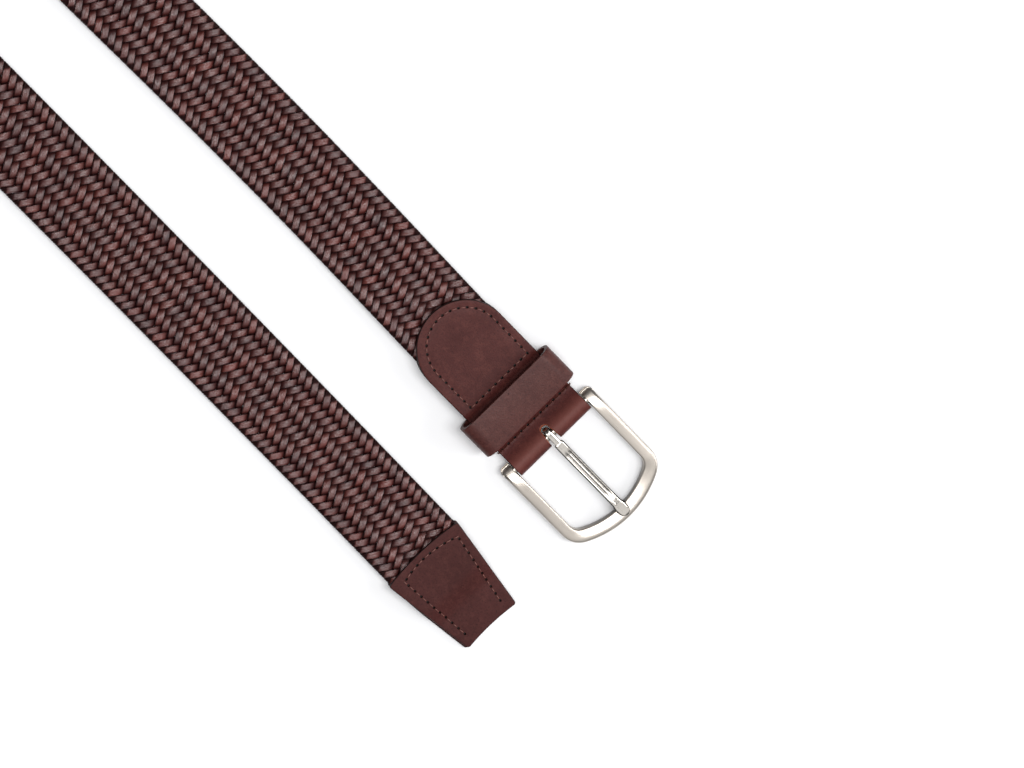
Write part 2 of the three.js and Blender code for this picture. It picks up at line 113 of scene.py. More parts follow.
def strap_line(distance):
    """The strap's middle in plan, the directions across it and out of its face, and its roll."""
    left = np.array(distance, float)
    x = np.full_like(left, BAR.x)
    y = np.full_like(left, BAR.y)
    heading = np.full_like(left, np.pi)
    for length, curvature in plan_pieces:
        run = np.minimum(left, length)
        turned = heading + run * curvature
        if curvature == 0:
            x += run * np.cos(turned)
            y += run * np.sin(turned)
        else:
            x += (np.sin(turned) - np.sin(heading)) / curvature
            y -= (np.cos(turned) - np.cos(heading)) / curvature
        heading = turned
        left = left - run
    distance = np.array(distance, float)
    outward = np.stack([np.sin(heading), -np.cos(heading), np.zeros_like(x)], -1)
    along = np.stack([np.cos(heading), np.sin(heading), np.zeros_like(x)], -1)
    slope = (outward_shift(distance + MM / 2) - outward_shift(distance - MM / 2)) / MM
    level = outward - along * slope[..., None]
    level /= np.linalg.norm(level, axis=-1, keepdims=True)
    rising = smooth((distance - (buckle_run - TWIST_LENGTH)) / TWIST_LENGTH)
    falling = smooth((distance - (BELT_LENGTH - tail_run)) / TWIST_LENGTH)
    roll = (rising - falling)[..., None] * np.pi / 2
    up = np.array([0, 0, 1.0])
    middle = np.stack([x, y, np.zeros_like(x)], -1) + outward * outward_shift(distance)[..., None]
    across = level * np.cos(roll) - up * np.sin(roll)
    face = up * np.cos(roll) + level * np.sin(roll)
    return middle, across, face, roll[..., 0]


def in_strap(distance, aside, above):
    """Places given along the strap, aside of its middle and above its middle layer, in the plait."""
    middle, across, face, roll = strap_line(distance)
    from_tab = distance - TAB_LENGTH
    from_tip = tip_root - distance
    near = np.minimum(from_tab, from_tip)
    thick = lerp(PRESSED_THICK, BRAID_THICK, smooth(near / PRESSED_FADE))
    leather = np.where(from_tab < from_tip, TAB_LEATHER, TIP_LEATHER)
    sewn_height = leather + CLEARANCE + PRESSED_THICK / 2
    height = lerp(sewn_height, BRAID_THICK / 2, smooth(near / SETTLE_LENGTH))
    width = BRAID_WIDTH - 2 * BRAID_END_INSET * smooth(-from_tip / BRAID_INTO_TIP)
    middle[..., 2] = height * np.cos(roll) + BRAID_WIDTH / 2 * np.sin(roll)
    aside = aside * width / BRAID_WIDTH
    above = above * thick / BRAID_THICK
    return middle + across * aside[..., None] + face * above[..., None]


STRIPS = 13
PATTERN_STEP = 1.7               # the strips take their grain from places this far apart
STRIP_STEP = 3.17 * MM           # from one strip to the next along the belt
LACE_THICK = 0.8 * MM
LACE_FILL = 0.96                 # share of its room that a strip's width takes
WEAVE_RISE = 1.08 * MM           # height of a strip's middle where it lies on top
EDGE_FOLD = 0.8 * MM             # radius that a strip is folded round the edge with
EDGE_CROWDING = 0.6 * MM         # the crossings near an edge are pushed this far towards it
plait_flat = BRAID_WIDTH / 2 - EDGE_FOLD - LACE_THICK / 2
fold_quarter = math.pi / 2 * EDGE_FOLD
crossing_run = 2 * plait_flat + 2 * fold_quarter
crossing = crossing_run / STRIPS
slant = math.atan2(crossing_run, STRIPS * STRIP_STEP / 2)
half_lace = STRIP_STEP * math.sin(slant) * LACE_FILL / 2 / math.sin(2 * slant)
# A strip goes under and over at these numbers of crossings from the edge
turn_crossings = np.array([0, 2.5, 4.5, 6.5])
crest_crossing = turn_crossings[1] / 2
# Half of a strip's section from edge to edge: share of its half width, share of its half thickness
lace_section = [(1, 0), (0.94, 0.7), (0.6, 0.95), (0, 1), (-0.6, 0.95), (-0.94, 0.7)]
lace_ring = np.array(lace_section + [(-across, -up) for across, up in lace_section])


def weave_height(past_edge):
    """A strip's height at a run past the edge: over from the edge on, then under, then over."""
    run = np.abs(past_edge)
    turns = np.interp(run / crossing, turn_crossings, np.arange(len(turn_crossings)))
    wave = (np.sin(np.pi * turns) + 0.03 * np.sin(3 * np.pi * turns)) / 0.97
    swell = smooth((run - fold_quarter) / (crest_crossing * crossing - fold_quarter))
    fold = np.where(
        run < fold_quarter,
        EDGE_FOLD * np.sin(np.minimum(run, fold_quarter) / EDGE_FOLD),
        lerp(EDGE_FOLD, WEAVE_RISE, swell),
    )
    height = np.where(run < crest_crossing * crossing, fold, WEAVE_RISE * wave)
    return np.sign(past_edge) * height


def plaited(run, aside, begins):
    """The middle layer of a strip in the plait: run is counted across the belt and back."""
    own_run = run - aside * math.sin(slant)
    along = begins + run / math.tan(slant) + aside * math.cos(slant)
    edge = np.round(run / crossing_run)
    past = run - edge * crossing_run
    own_past = own_run - edge * crossing_run
    side = np.where(edge % 2 == 0, -1, 1)
    out = np.where(
        np.abs(own_past) < fold_quarter,
        plait_flat + EDGE_FOLD * np.cos(own_past / EDGE_FOLD),
        plait_flat - (np.abs(own_past) - fold_quarter),
    )
    out = out + EDGE_CROWDING * np.sin(np.pi * np.clip(out / plait_flat, -1, 1))
    own = 1 - smooth((np.abs(past) / crossing - 1) / 1.2)
    height = weave_height(past + (own_past - past) * own)
    return np.stack([along, side * out, height], -1)


def drawn_tube(name, around, steps):
    """A closed tube drawn out of a circle, and each vertex's place round it and along it."""
    bpy.ops.mesh.primitive_circle_add(vertices=around, radius=1, location=(0, 0, 0))
    tube = bpy.context.object
    tube.name = tube.data.name = name
    draw = tube.modifiers.new("draw", "SCREW")
    draw.angle = 0
    draw.screw_offset = steps
    draw.steps = draw.render_steps = steps
    bpy.ops.object.modifier_apply(modifier=draw.name)
    bpy.ops.object.mode_set(mode="EDIT")
    bpy.ops.mesh.select_mode(type="EDGE")
    bpy.ops.mesh.select_all(action="DESELECT")
    bpy.ops.mesh.select_non_manifold()
    bpy.ops.mesh.edge_face_add()
    bpy.ops.mesh.select_mode(type="VERT")
    bpy.ops.object.mode_set(mode="OBJECT")
    places = read_places(tube)
    turn = np.round(np.arctan2(places[:, 1], places[:, 0]) / (2 * np.pi / around)).astype(int) % around
    step = np.round(places[:, 2]).astype(int)
    return tube, turn, step


def read_places(piece):
    places = np.zeros(len(piece.data.vertices) * 3)
    piece.data.vertices.foreach_get("co", places)
    return places.reshape(-1, 3)


def set_places(piece, places):
    piece.data.vertices.foreach_set("co", np.asarray(places, float).ravel())
    piece.data.update()


def select_only(piece):
    bpy.ops.object.select_all(action="DESELECT")
    bpy.context.view_layer.objects.active = piece
    piece.select_set(True)


def face_outwards(piece):
    select_only(piece)
    bpy.ops.object.mode_set(mode="EDIT")
    bpy.ops.mesh.select_all(action="SELECT")
    bpy.ops.mesh.normals_make_consistent(inside=False)
    bpy.ops.object.mode_set(mode="OBJECT")


def smooth_shading(piece, degrees):
    select_only(piece)
    bpy.ops.object.shade_smooth_by_angle(angle=math.radians(degrees))
    bpy.ops.object.select_all(action="DESELECT")


def store(piece, name, kind, values):
    """Keeps a number or a vector for each vertex, for the material to read."""
    layer = piece.data.attributes.new(name, kind, "POINT")
    member = "vector" if kind == "FLOAT_VECTOR" else "value"
    layer.data.foreach_set(member, np.asarray(values, np.float32).ravel())


# Where the sections of a strip lie on its way from edge to edge: close together round the edge
fold_stations = np.array([0, 0.3, 0.62, 1, 1.5, 2.1]) * fold_quarter
open_stations = np.linspace(fold_stations[-1], crossing_run - fold_stations[-1], 32)
one_way = np.concatenate([fold_stations[:-1], open_stations, crossing_run - fold_stations[-2:0:-1]])
draws = np.random.default_rng(13)
REDDER = (3, 9)                  # two strips are cut from a redder hide
WANDER_STEP = 4 * MM             # a strip's width and height wander from one such stretch to the next
strips = []
for number in range(STRIPS):
    begins = number * STRIP_STEP
    first = (braid_start - begins) * math.tan(slant)
    last = (braid_end - begins) * math.tan(slant)
    ways = np.arange(math.floor(first / crossing_run), math.ceil(last / crossing_run))
    run = (ways[:, None] * crossing_run + one_way).ravel()
    run = np.concatenate([[first], run[(run > first) & (run < last)], [last]])
    strip, turn, step = drawn_tube(f"plait_strip_{number + 1:02d}", len(lace_ring), len(run) - 1)
    own_run = run[step]
    knots = np.arange(run[0], run[-1] + WANDER_STEP, WANDER_STEP)
    wander = np.interp(run, knots, draws.normal(0, 1, len(knots)))
    aside = lace_ring[turn, 0] * half_lace * (1 + 0.02 * wander[step])
    tiny = 0.01 * MM
    spot = plaited(own_run, aside, begins)
    with_run = plaited(own_run + tiny, aside, begins) - plaited(own_run - tiny, aside, begins)
    with_aside = plaited(own_run, aside + tiny, begins) - plaited(own_run, aside - tiny, begins)
    normal = np.cross(with_aside, with_run)
    normal /= np.linalg.norm(normal, axis=-1, keepdims=True)
    spot += normal * (lace_ring[turn, 1] * LACE_THICK / 2)[:, None]
    spot[:, 2] += 0.035 * MM * wander[step]
    set_places(strip, in_strap(spot[:, 0], spot[:, 1], spot[:, 2]))
    face_outwards(strip)
    smooth_shading(strip, 80)
    length = own_run / math.sin(slant) + number * PATTERN_STEP
    store(strip, "lace", "FLOAT_VECTOR", np.stack([length, aside, lace_ring[turn, 1] * LACE_THICK], -1))
    redness = 0.75 if number in REDDER else draws.uniform(0, 0.45)
    store(strip, "redness", "FLOAT", np.clip(redness + 0.1 * wander[step], 0, 1))
    past_edge = np.abs(own_run - np.round(own_run / crossing_run) * crossing_run)
    # Height in the weave: low where the strip dives under or turns round the plait's edge; the material
    # paints shade there and keeps the crests lighter
    wear_and_shade = np.abs(weave_height(past_edge)) / WEAVE_RISE * smooth(past_edge / fold_quarter - 0.6)
    store(strip, "wear_and_shade", "FLOAT", wear_and_shade)
    strips.append(strip)


def node_group(name, sockets):
    """A shader group with its named inputs and outputs, and the two nodes that hold them."""
    group = bpy.data.node_groups.new(name, "ShaderNodeTree")
    for label, way, kind, value in sockets:
        socket = group.interface.new_socket(name=label, in_out=way, socket_type=kind)
        if value is not None:
            socket.default_value = value
    return group, group.nodes.new("NodeGroupInput"), group.nodes.new("NodeGroupOutput")


def add_node(tree, kind, **settings):
    """A node with its settings, and with values or links for its inputs, which are given by name."""
    node = tree.nodes.new(kind)
    inputs = settings.pop("inputs", {})
    for name, value in settings.items():
        setattr(node, name, value)
    for name, value in inputs.items():
        if isinstance(value, bpy.types.NodeSocket):
            tree.links.new(value, node.inputs[name])
        else:
            node.inputs[name].default_value = value
    return node


def colour(red, green, blue):
    """A colour given as it looks on a screen, from 0 to 255, for a shader socket."""
    linear = [channel / 12.92 if channel <= 0.04045 else ((channel + 0.055) / 1.055) ** 2.4
              for channel in (red / 255, green / 255, blue / 255)]
    return (*linear, 1)


def mix_colours(tree, share, first, second):
    mix = add_node(tree, "ShaderNodeMix", data_type="RGBA")
    for socket, value in zip((mix.inputs[0], mix.inputs[6], mix.inputs[7]), (share, first, second)):
        if isinstance(value, bpy.types.NodeSocket):
            tree.links.new(value, socket)
        else:
            socket.default_value = value
    return mix.outputs[2]


def spread(tree, value, low, high, out_low=0.0, out_high=1.0):
    """A value between two limits brought to two others, and held at them."""
    ranged = add_node(tree, "ShaderNodeMapRange", inputs={"Value": value, "From Min": low, "From Max": high,
                                                          "To Min": out_low, "To Max": out_high})
    return ranged.outputs[0]


# Grain of tanned hide: fine pores in a net of creases, with clouds where the dye took differently
grain, grain_in, grain_out = node_group("hide_grain", [
    ("Position", "INPUT", "NodeSocketVector", None),
    ("Pore Scale", "INPUT", "NodeSocketFloat", 1600.0),
    ("Cloud Scale", "INPUT", "NodeSocketFloat", 90.0),
    ("Height", "OUTPUT", "NodeSocketFloat", None),
    ("Clouds", "OUTPUT", "NodeSocketFloat", None),
])
cells = add_node(grain, "ShaderNodeTexVoronoi", feature="SMOOTH_F1", inputs={
    "Vector": grain_in.outputs["Position"], "Scale": grain_in.outputs["Pore Scale"], "Smoothness": 0.35})
creases = add_node(grain, "ShaderNodeTexNoise", inputs={
    "Vector": grain_in.outputs["Position"], "Scale": grain_in.outputs["Pore Scale"], "Detail": 3.0})
clouds = add_node(grain, "ShaderNodeTexNoise", inputs={
    "Vector": grain_in.outputs["Position"], "Scale": grain_in.outputs["Cloud Scale"],
    "Detail": 4.0, "Roughness": 0.6})
rise = add_node(grain, "ShaderNodeMath", operation="ADD", inputs={
    0: cells.outputs["Distance"], 1: creases.outputs["Fac"]})
grain.links.new(rise.outputs[0], grain_out.inputs["Height"])
grain.links.new(spread(grain, clouds.outputs["Fac"], 0.3, 0.7), grain_out.inputs["Clouds"])

LACE_DARK = colour(54, 27, 29)
LACE_BROWN = colour(102, 60, 56)
LACE_RED = colour(106, 50, 44)
LACE_EDGE_AND_SHADE = colour(30, 9, 9)

lace_leather = bpy.data.materials.new("waxed_lace_leather")
lace_leather.use_nodes = True
tree = lace_leather.node_tree
shader = tree.nodes["Principled BSDF"]
lace_place = add_node(tree, "ShaderNodeAttribute", attribute_name="lace")
redness = add_node(tree, "ShaderNodeAttribute", attribute_name="redness")
lengthwise = add_node(tree, "ShaderNodeMapping", inputs={
    "Vector": lace_place.outputs["Vector"], "Scale": (0.35, 1, 1)})
hide = add_node(tree, "ShaderNodeGroup", node_tree=grain, inputs={
    "Position": lengthwise.outputs["Vector"], "Pore Scale": 2600.0, "Cloud Scale": 330.0})
brown = mix_colours(tree, hide.outputs["Clouds"], LACE_DARK, LACE_BROWN)
dyed = mix_colours(tree, redness.outputs["Fac"], brown, LACE_RED)
section = add_node(tree, "ShaderNodeSeparateXYZ", inputs={"Vector": lace_place.outputs["Vector"]})
from_middle = add_node(tree, "ShaderNodeMath", operation="ABSOLUTE", inputs={0: section.outputs["Y"]})
# Each strip is darkened along its side edges: its darker cut edge, with painted shade in the gaps between
# strips
at_edge = spread(tree, from_middle.outputs[0], half_lace * 0.72, half_lace * 1.0)
wear_and_shade = add_node(tree, "ShaderNodeAttribute", attribute_name="wear_and_shade")
# Painted shade: the strip's colour goes dark where it dives under its neighbours and where it turns round the
# edge
faced = mix_colours(tree, spread(tree, wear_and_shade.outputs["Fac"], 0.2, 0.85), LACE_EDGE_AND_SHADE, dyed)
tree.links.new(spread(tree, wear_and_shade.outputs["Fac"], 0.5, 1.0, 0.06, 0.9), shader.inputs["Specular IOR Level"])
tree.links.new(mix_colours(tree, at_edge, faced, LACE_EDGE_AND_SHADE), shader.inputs["Base Color"])
tree.links.new(spread(tree, hide.outputs["Clouds"], 0, 1, 0.4, 0.2), shader.inputs["Roughness"])
# Where a strip is bent over another, its waxed face is crazed across its length
across_length = add_node(tree, "ShaderNodeMapping", inputs={
    "Vector": lace_place.outputs["Vector"], "Scale": (1, 0.45, 1)})
crazing = add_node(tree, "ShaderNodeTexNoise", inputs={
    "Vector": across_length.outputs["Vector"], "Scale": 1900.0, "Detail": 4.0, "Roughness": 0.65,
    "Distortion": 0.6})
crazed = add_node(tree, "ShaderNodeMath", operation="ADD", inputs={
    0: hide.outputs["Height"], 1: crazing.outputs["Fac"]})
bump = add_node(tree, "ShaderNodeBump", inputs={
    "Height": crazed.outputs[0], "Strength": 0.8, "Distance": 0.0002})
tree.links.new(bump.outputs["Normal"], shader.inputs["Normal"])
for strip in strips:
    strip.data.materials.append(lace_leather)
    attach(strip, "strap")
    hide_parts("braid")

# The tail's two layers
# Two tapered pieces of smooth leather, glued and stitched together over the end of the plait.
# Each is cut flat, its edges are rounded and painted dark, and it is pressed down past the plait.
TIP_ROOT_WIDTH = 33.8 * MM
TIP_END_WIDTH = 23.7 * MM
TIP_ROOT_BOW = 1.4 * MM
TIP_END_HOLLOW = 0.8 * MM
TIP_SINK_START = 1 * MM
TIP_SINK_LENGTH = 9 * MM
TIP_CORNER = 1.1 * MM
TIP_BACK_SLIP = 0.7 * MM         # the back layer shows this far past the front layer, on one side
EDGE_ROUND = 0.38 * MM
TIP_CELL = 1.2 * MM
tip_under_braid = TIP_LEATHER + PRESSED_THICK + 2 * CLEARANCE


def cut_flat(name, outline, thickness, corner=0.0, corners=(), mirrored=False):
    """A flat piece of leather with rounded edges, its painted edge faces in the second material."""
    bpy.ops.mesh.primitive_circle_add(vertices=len(outline), radius=1, fill_type="NGON", location=(0, 0, 0))
    piece = bpy.context.object
    piece.name = piece.data.name = name
    set_places(piece, [(x, y, -thickness / 2) for x, y in outline])
    select_only(piece)
    if mirrored:
        halves = piece.modifiers.new("other half", "MIRROR")
        halves.use_axis = (False, True, False)
        halves.merge_threshold = 0.001 * MM
        bpy.ops.object.modifier_apply(modifier=halves.name)
    bpy.ops.object.mode_set(mode="EDIT")
    if corner:
        bpy.ops.mesh.select_all(action="DESELECT")
        bpy.ops.object.mode_set(mode="OBJECT")
        for index in corners:
            piece.data.vertices[index].select = True
        bpy.ops.object.mode_set(mode="EDIT")
        bpy.ops.mesh.bevel(offset=corner, segments=4, affect="VERTICES")
    bpy.ops.mesh.select_all(action="SELECT")
    bpy.ops.mesh.extrude_region_move(TRANSFORM_OT_translate={"value": (0, 0, thickness)})
    bpy.ops.mesh.select_all(action="SELECT")
    bpy.ops.mesh.normals_make_consistent(inside=False)
    bpy.ops.mesh.select_all(action="DESELECT")
    bpy.ops.object.mode_set(mode="OBJECT")
    walls = {key for face in piece.data.polygons if abs(face.normal.z) < 0.5 for key in face.edge_keys}
    for edge in piece.data.edges:
        ends = [piece.data.vertices[index].co.z for index in edge.vertices]
        edge.select = edge.key in walls and abs(ends[0] - ends[1]) < thickness / 2
    bpy.context.tool_settings.mesh_select_mode = (False, True, False)
    bpy.ops.object.mode_set(mode="EDIT")
    bpy.ops.mesh.bevel(offset=EDGE_ROUND, segments=3, affect="EDGES")
    bpy.ops.mesh.select_mode(type="VERT")
    bpy.ops.object.mode_set(mode="OBJECT")
    for face in piece.data.polygons:
        face.material_index = 1 if abs(face.normal.z) < 0.9 else 0
    return piece


def score(piece, cell):
    """Crosses a flat piece with fine creases, so that it can be shaped."""
    places = read_places(piece)
    select_only(piece)
    bpy.ops.object.mode_set(mode="EDIT")
    for axis in (0, 1):
        normal = (1, 0, 0) if axis == 0 else (0, 1, 0)
        for level in np.arange(places[:, axis].min() + cell / 2, places[:, axis].max(), cell):
            bpy.ops.mesh.select_all(action="SELECT")
            bpy.ops.mesh.bisect(plane_co=[level * share for share in normal], plane_no=normal)
    bpy.ops.object.mode_set(mode="OBJECT")


def evenly_along(path, count, closed=False):
    """Evenly spaced places on a path in plan, and the path's direction at each."""
    path = np.array(path, float)
    if closed:
        path = np.concatenate([path, path[:1]])
    steps = np.linalg.norm(np.diff(path, axis=0), axis=1)
    lengths = np.concatenate([[0], np.cumsum(steps)])
    spots = np.linspace(0, lengths[-1], count, endpoint=not closed)
    places = np.stack([np.interp(spots, lengths, path[:, axis]) for axis in (0, 1)], -1)
    reach = 0.2 * MM
    ahead = np.stack([np.interp(spots + reach, lengths, path[:, axis]) for axis in (0, 1)], -1)
    behind = np.stack([np.interp(spots - reach, lengths, path[:, axis]) for axis in (0, 1)], -1)
    along = ahead - behind
    return places, along / np.linalg.norm(along, axis=1, keepdims=True)


def copies(name, template, places, along):
    """One mesh of many copies of a small piece, each turned along its own direction."""
    shape = read_places(template)
    faces = [tuple(face.vertices) for face in template.data.polygons]
    corners = []
    for (x, y), (east, north) in zip(places, along):
        corners.append(np.stack([
            x + shape[:, 0] * east - shape[:, 1] * north,
            y + shape[:, 0] * north + shape[:, 1] * east,
            shape[:, 2],
        ], -1))
    joined = bpy.data.meshes.new(name)
    count = len(shape)
    joined.from_pydata(np.concatenate(corners).tolist(), [],
                       [tuple(index + count * copy for index in face)
                        for copy in range(len(places)) for face in faces])
    piece = bpy.data.objects.new(name, joined)
    bpy.context.scene.collection.objects.link(piece)
    bpy.data.objects.remove(template)
    return piece


HOLE_HALF_LENGTH = 0.72 * MM
HOLE_HALF_WIDTH = 0.56 * MM
HOLE_DEPTH = 1.0 * MM
THREAD_RADIUS = 0.34 * MM
THREAD_GAP = 0.85 * MM           # a stitch is this much shorter than its pitch
THREAD_DIP = 0.75 * MM
THREAD_RISE = 0.06 * MM          # height of a stitch's middle over the leather


def pierce(piece, places, along, surface, size=1.0):
    """Cuts the awl's slits into a flat piece along a row of stitches."""
    bpy.ops.mesh.primitive_cylinder_add(vertices=10, radius=1, depth=2, location=(0, 0, 0))
    awl = bpy.context.object
    hole = (HOLE_HALF_LENGTH * size, HOLE_HALF_WIDTH * size, HOLE_DEPTH)
    point = read_places(awl) * hole
    point[:, :2] *= np.where(point[:, 2:] < 0, 0.5, 1.3)
    set_places(awl, point + (0, 0, surface))
    slits = copies("slits", awl, places, along)
    # The slits' walls take the dark edge paint, a painted shade inside the stitch holes
    for face in slits.data.polygons:
        face.material_index = 1
    cut = piece.modifiers.new("slits", "BOOLEAN")
    cut.object = slits
    cut.solver = "EXACT"
    select_only(piece)
    bpy.ops.object.modifier_apply(modifier=cut.name)
    bpy.data.objects.remove(slits)


def stitches(name, path, count, surface, closed=False, radius=THREAD_RADIUS, gap=THREAD_GAP, over_ends=0.0):
    """A row of stitches in a flat piece: a length of thread from each slit to the next."""
    pitch = np.linalg.norm(np.diff(np.array(path + path[:1] if closed else path), axis=0), axis=1).sum()
    pitch /= count if closed else count - 1
    thread, turn, step = drawn_tube(name, 6, 6)
    share = step / 3 - 1
    angle = turn * math.pi / 3
    set_places(thread, np.stack([
        share * (pitch - gap) / 2,
        np.cos(angle) * radius,
        surface + THREAD_RISE - THREAD_DIP * np.abs(share) ** 3.5 + np.sin(angle) * radius,
    ], -1))
    places, along = evenly_along(path, count * 2 if closed else count * 2 - 1, closed)
    places, along = places[1::2], along[1::2]
    if over_ends:
        ends = np.array([path[0], path[-1]]) + over_ends * np.array([-along[0], along[-1]])
        places, along = np.concatenate([places, ends]), np.concatenate([along, along[[0, -1]]])
    return copies(name, thread, places, along)


def dented(places, path, surface, depth, reach, closed=False):
    """Heights of a flat piece's places, pulled down along a row of stitches."""
    spots, _ = evenly_along(path, 400, closed)
    away = np.min(np.linalg.norm(places[:, None, :2] - spots[None], axis=2), axis=1)
    upper = places[:, 2] > surface * 0.2
    return places[:, 2] - upper * depth * np.exp(-(away / reach) ** 2)


def tip_underside(reach):
    past = (reach - BRAID_INTO_TIP - TIP_SINK_START) / TIP_SINK_LENGTH
    return lerp(tip_under_braid, TIP_LEATHER + CLEARANCE, smooth(past))


def in_tip(places, under):
    """Lays a flat piece onto the tail: its length runs along the strap from the tail's root."""
    middle, across, _, _ = strap_line(tip_root + places[:, 0])
    spots = middle - across * places[:, 1:2]
    spots[:, 2] = under + TIP_LEATHER / 2 + places[:, 2]
    return spots


def tip_outline():
    aside = np.linspace(-1, 1, 21)
    root = [(-TIP_ROOT_BOW * (1 - a * a), a * TIP_ROOT_WIDTH / 2) for a in aside]
    end = [(TIP_LENGTH - TIP_END_HOLLOW * (1 - a * a), a * TIP_END_WIDTH / 2) for a in aside[::-1]]
    return root + end


# Leather with a smooth face, as it is dyed, waxed and pressed
def smooth_leather(name, dark, light, worn, roughness, gloss):
    """A dyed leather face: two close shades in clouds, and a worn shade on its fine grain."""
    material = bpy.data.materials.new(name)
    material.use_nodes = True
    tree = material.node_tree
    shader = tree.nodes["Principled BSDF"]
    place = add_node(tree, "ShaderNodeTexCoord")
    hide = add_node(tree, "ShaderNodeGroup", node_tree=grain, inputs={
        "Position": place.outputs["Object"], "Pore Scale": 2100.0, "Cloud Scale": 75.0})
    streaks = add_node(tree, "ShaderNodeTexNoise", inputs={
        "Vector": place.outputs["Object"], "Scale": 420.0, "Detail": 5.0, "Roughness": 0.65})
    specks = add_node(tree, "ShaderNodeTexNoise", inputs={
        "Vector": place.outputs["Object"], "Scale": 1500.0, "Detail": 3.0, "Roughness": 0.7})
    dyed = mix_colours(tree, hide.outputs["Clouds"], dark, light)
    wear_and_shade = spread(tree, streaks.outputs["Fac"], 0.46, 0.74, 0, 0.6)
    shaded = mix_colours(tree, wear_and_shade, dyed, worn)
    deepest = tuple(channel * 0.5 for channel in dark[:3]) + (1,)
    shaded = mix_colours(tree, spread(tree, specks.outputs["Fac"], 0.5, 0.3, 0, 0.7), shaded, deepest)
    tree.links.new(shaded, shader.inputs["Base Color"])
    tree.links.new(spread(tree, hide.outputs["Clouds"], 0, 1, roughness + 0.06, roughness - 0.04),
                   shader.inputs["Roughness"])
    bump = add_node(tree, "ShaderNodeBump", inputs={
        "Height": hide.outputs["Height"], "Strength": 0.3, "Distance": 0.0001})
    tree.links.new(bump.outputs["Normal"], shader.inputs["Normal"])
    shader.inputs["Specular IOR Level"].default_value = gloss
    return material


def painted_edge(name, paint, roughness):
    """The dark paint on a cut edge, a little uneven where the fibres show through."""
    material = bpy.data.materials.new(name)
    material.use_nodes = True
    tree = material.node_tree
    shader = tree.nodes["Principled BSDF"]
    place = add_node(tree, "ShaderNodeTexCoord")
    fibres = add_node(tree, "ShaderNodeTexNoise", inputs={
        "Vector": place.outputs["Object"], "Scale": 1400.0, "Detail": 4.0})
    lighter = tuple(min(1, channel * 1.9) for channel in paint[:3]) + (1,)
    tree.links.new(mix_colours(tree, spread(tree, fibres.outputs["Fac"], 0.45, 0.75), paint, lighter),
                   shader.inputs["Base Color"])
    shader.inputs["Roughness"].default_value = roughness
    shader.inputs["Specular IOR Level"].default_value = 0.2
    bump = add_node(tree, "ShaderNodeBump", inputs={
        "Height": fibres.outputs["Fac"], "Strength": 0.25, "Distance": 0.0001})
    tree.links.new(bump.outputs["Normal"], shader.inputs["Normal"])
    return material


tip_leather = smooth_leather(
    "tip_leather", colour(61, 28, 26), colour(70, 33, 31), colour(82, 44, 40), 0.54, 0.13)
# The dark paint of the cut edges, also on the stitch holes' walls as painted shade
edge_paint_and_hole_shade = painted_edge("edge_paint_and_hole_shade", colour(30, 19, 18), 0.5)

thread_cotton = bpy.data.materials.new("waxed_thread")
thread_cotton.use_nodes = True
tree = thread_cotton.node_tree
place = add_node(tree, "ShaderNodeTexCoord")
twist = add_node(tree, "ShaderNodeTexNoise", inputs={"Vector": place.outputs["Object"], "Scale": 2500.0})
tree.links.new(mix_colours(tree, spread(tree, twist.outputs["Fac"], 0.35, 0.65),
                           colour(76, 38, 33), colour(118, 66, 55)),
               tree.nodes["Principled BSDF"].inputs["Base Color"])
tree.nodes["Principled BSDF"].inputs["Roughness"].default_value = 0.6

# The tail's row of stitches: along one side, across the root in a bow, and back along the other
tip_far_reach = 32.9 * MM
tip_root_bend = [(lerp(4.0, 2.7, share) * MM - 2.1 * MM * 4 * share * (1 - share),
                  lerp(13.4, -11.6, share) * MM)
                 for share in np.linspace(0, 1, 13)]
tip_path = [(tip_far_reach, 8.4 * MM)] + tip_root_bend + [(tip_far_reach, -9.1 * MM)]
TIP_STITCHES = 28
tip_top = TIP_LEATHER / 2
slit_places, slit_along = evenly_along(tip_path, TIP_STITCHES)
for name, node in (("tail_front_layer", "tip_front"), ("tail_back_layer", "tip_back")):
    layer = cut_flat(name, tip_outline(), TIP_LEATHER, TIP_CORNER, (0, 20, 21, 41))
    score(layer, TIP_CELL)
    places = read_places(layer)
    if node == "tip_front":
        places[:, 2] = dented(places, tip_path, tip_top, 0.1 * MM, 0.9 * MM)
        set_places(layer, places)
        pierce(layer, slit_places, slit_along, tip_top)
        places = read_places(layer)
        set_places(layer, in_tip(places, tip_underside(places[:, 0])))
    else:
        places[:, 1] -= TIP_BACK_SLIP * smooth(places[:, 0] / TIP_LENGTH * 2)
        set_places(layer, in_tip(places, 0))
    smooth_shading(layer, 40)
    layer.data.materials.append(tip_leather)
    layer.data.materials.append(edge_paint_and_hole_shade)
    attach(layer, "strap")
    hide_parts(node)

tip_thread = stitches("tail_stitches", tip_path, TIP_STITCHES, tip_top - 0.1 * MM)
places = read_places(tip_thread)
set_places(tip_thread, in_tip(places, tip_underside(places[:, 0])))
smooth_shading(tip_thread, 60)
tip_thread.data.materials.append(thread_cotton)
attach(tip_thread, "strap")

